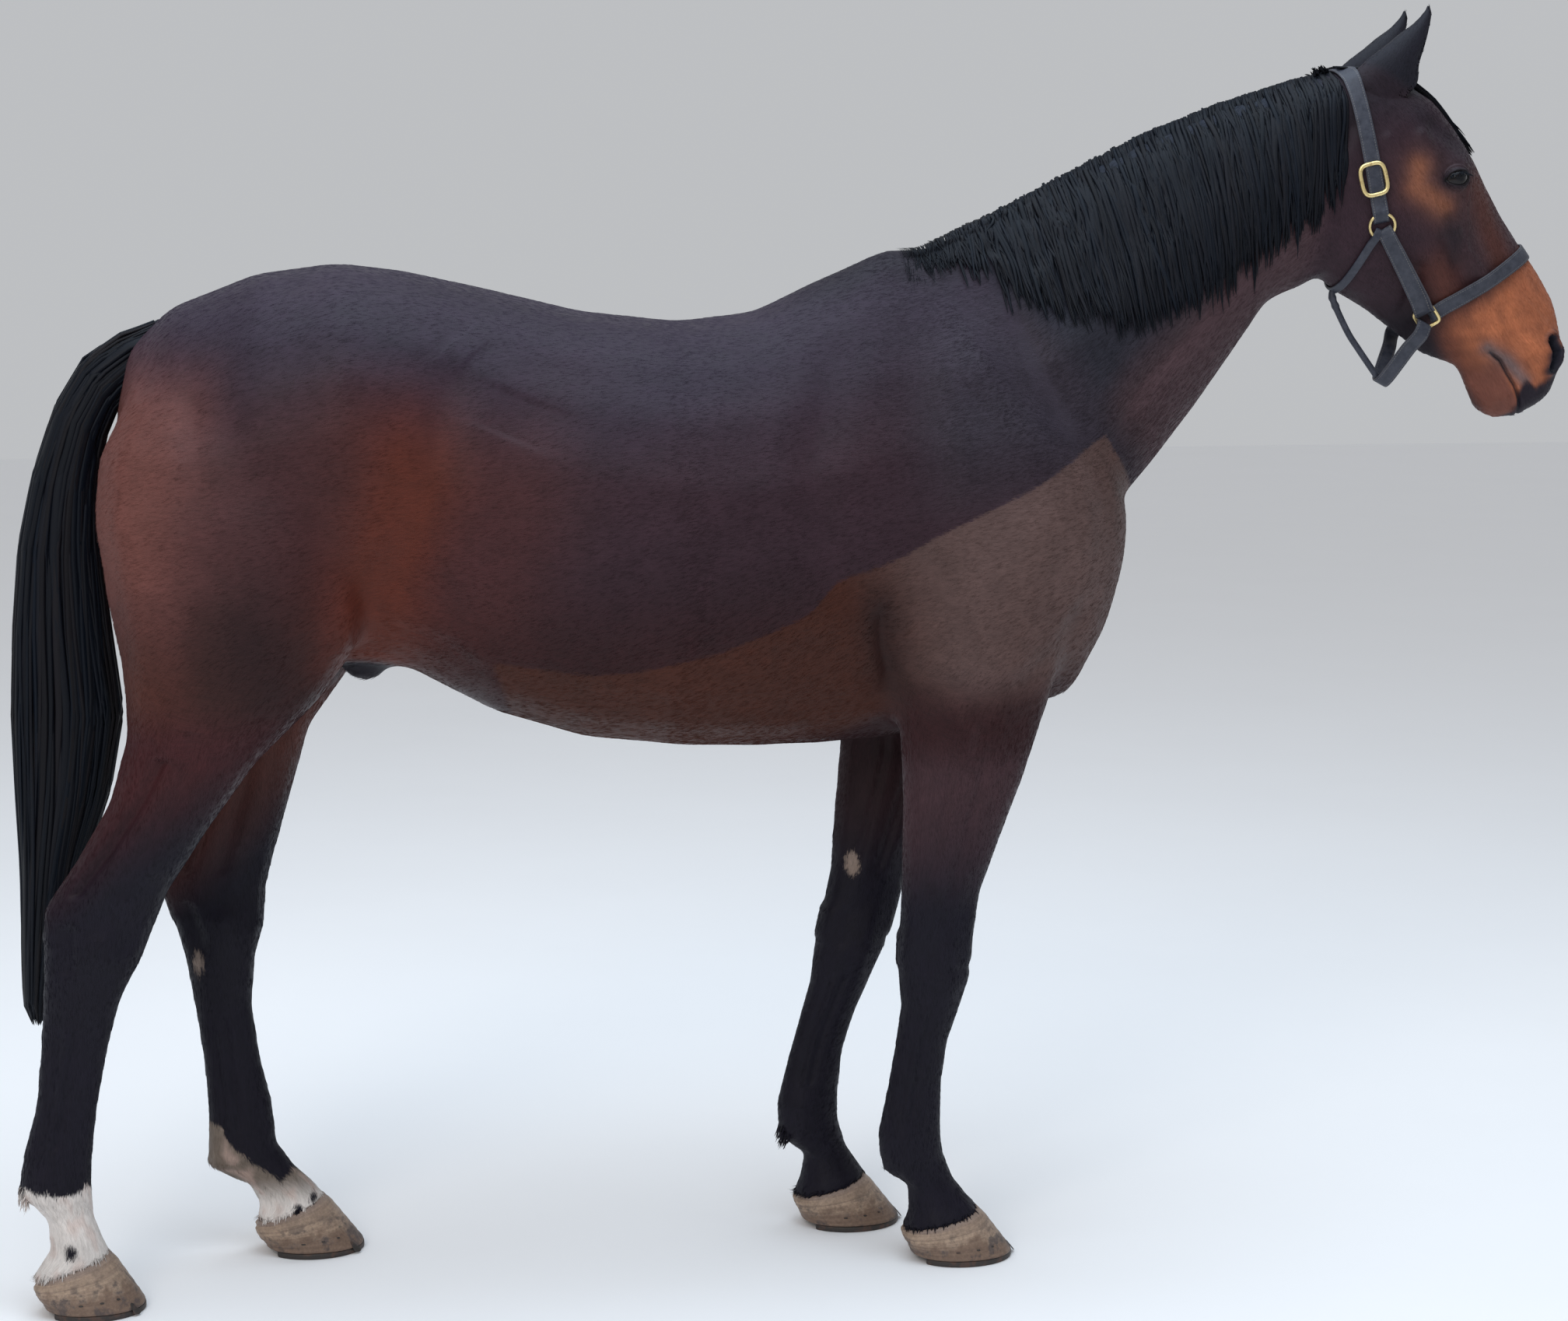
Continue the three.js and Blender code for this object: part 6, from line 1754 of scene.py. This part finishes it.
def growFringes():
    own = fringeSettings
    above = overHoof(triangleMiddles)
    roots, normals, colours = scatterRoots(own["coronet"], (above > 0.001) & (above < 0.01))
    ways = unit(hairWay(roots, normals) + rng.normal(0, 0.12, roots.shape))
    down = np.array([0.0, 0.0, -1.0])
    lengths = (overHoof(roots) + rng.uniform(0.001, 0.006, len(roots))) * 1.1
    growFringe("coronet_hair", roots, normals, colours * 0.92, ways + 0.4 * normals, ways + down * 0.4,
               lengths, 0.6)
    backs = np.zeros(len(triangleMiddles), bool)
    for leg, level in own["backs"].items():
        band = (legShare(triangleMiddles, leg) > 0.5) & (np.abs(middleZ - level) < 0.016)
        backs |= band & (middleX < middleX[band].min() + 0.014)
    roots, normals, colours = scatterRoots(own["fetlock"], backs)
    spread = rng.normal(0, 0.15, roots.shape)
    growFringe("fetlock_hair", roots, normals, colours, unit(normals * 0.5 + down + spread),
               unit(np.array([-0.25, 0, -1.0]) + spread), rng.uniform(0.012, 0.026, len(roots)), 0.8)
    count = own["poll"]
    x, spread = rng.uniform(0.808, 0.838, count), rng.normal(0, 0.22, (count, 3))
    roots = np.stack([x, rng.uniform(-0.01, 0.01, count),
                      np.interp(x, *zip(*maneSettings["crest"])) - 0.003], -1)
    normals = np.array([[0.2, 1.0, 0.0]]) * np.ones((count, 1))
    growFringe("poll_hair", roots, unit(normals), np.ones(count) * 0.3, unit(spread + [-0.2, 0, 1.0]),
               unit(spread + [-0.7, -0.4, 0.5]), rng.uniform(0.01, 0.02, count))

growHoofs()
growEyes()
growHeadcollar()
growCoat()
growFringes()

def floorMaterial():
    look = newMaterial("paleFloor")
    shade, cloud = look.pattern(mottle, look.place(), 1.5, 0.03)
    colour = look.scaled(np.array([0.95, 0.95, 0.96]), shade)
    return look.finish(colour, look.spread(cloud, 0.86, 0.94), cloud, 0.0002)

floor = makeObject("floor", np.array([(-20, -20, 0), (20, -20, 0), (20, 20, 0), (-20, 20, 0)], float),
                   np.array([(0, 1, 2, 3)]))

floor.data.materials.append(floorMaterial())
world = bpy.data.worlds.new("studio")
bpy.context.scene.world = world
world.use_nodes = True
world.node_tree.nodes["Background"].inputs["Color"].default_value = (0.93, 0.95, 0.98, 1.0)
world.node_tree.nodes["Background"].inputs["Strength"].default_value = 0.55

# Lights and the camera: data placed in the scene, turned up or down and round.
def placed(name, data, at, tilt, turn):
    holder = bpy.data.objects.new(name, data)
    bpy.context.scene.collection.objects.link(holder)
    holder.location = at
    holder.rotation_euler = (tilt, 0, turn)
    return holder

lampSettings = [
    {"name": "sky", "at": (-0.2, -0.6, 4.6), "aim": (0, 0, 1.0), "size": 5.0, "power": 170,
     "colour": (0.72, 0.86, 1.0)},
    {"name": "front", "at": (-3.4, -5.2, 4.4), "aim": (0, 0, 1.1), "size": 3.0, "power": 110,
     "colour": (1.0, 0.93, 0.86)},
]

def addLamps():
    for lamp in lampSettings:
        light = bpy.data.lights.new(lamp["name"], "AREA")
        light.shape, light.size, light.energy, light.color = "DISK", lamp["size"], lamp["power"], lamp["colour"]
        way = np.array(lamp["aim"]) - np.array(lamp["at"])
        tilt = pi / 2 + np.arctan2(way[2], np.hypot(way[0], way[1]))
        placed(lamp["name"], light, lamp["at"], tilt, np.arctan2(-way[0], way[1]))

addLamps()
cameraSettings = {"at": (-0.84378, -4.53012, 1.588), "pitch": 7.754, "heading": 9.955, "lens": 67.045}

def addCamera():
    own, view = cameraSettings, bpy.data.cameras.new("camera")
    view.lens, view.sensor_width = own["lens"], 36
    tilt, turn = radians(90 - own["pitch"]), radians(-own["heading"])
    bpy.context.scene.camera = placed("camera", view, own["at"], tilt, turn)

addCamera()
bpy.context.scene.view_settings.view_transform = "Standard"
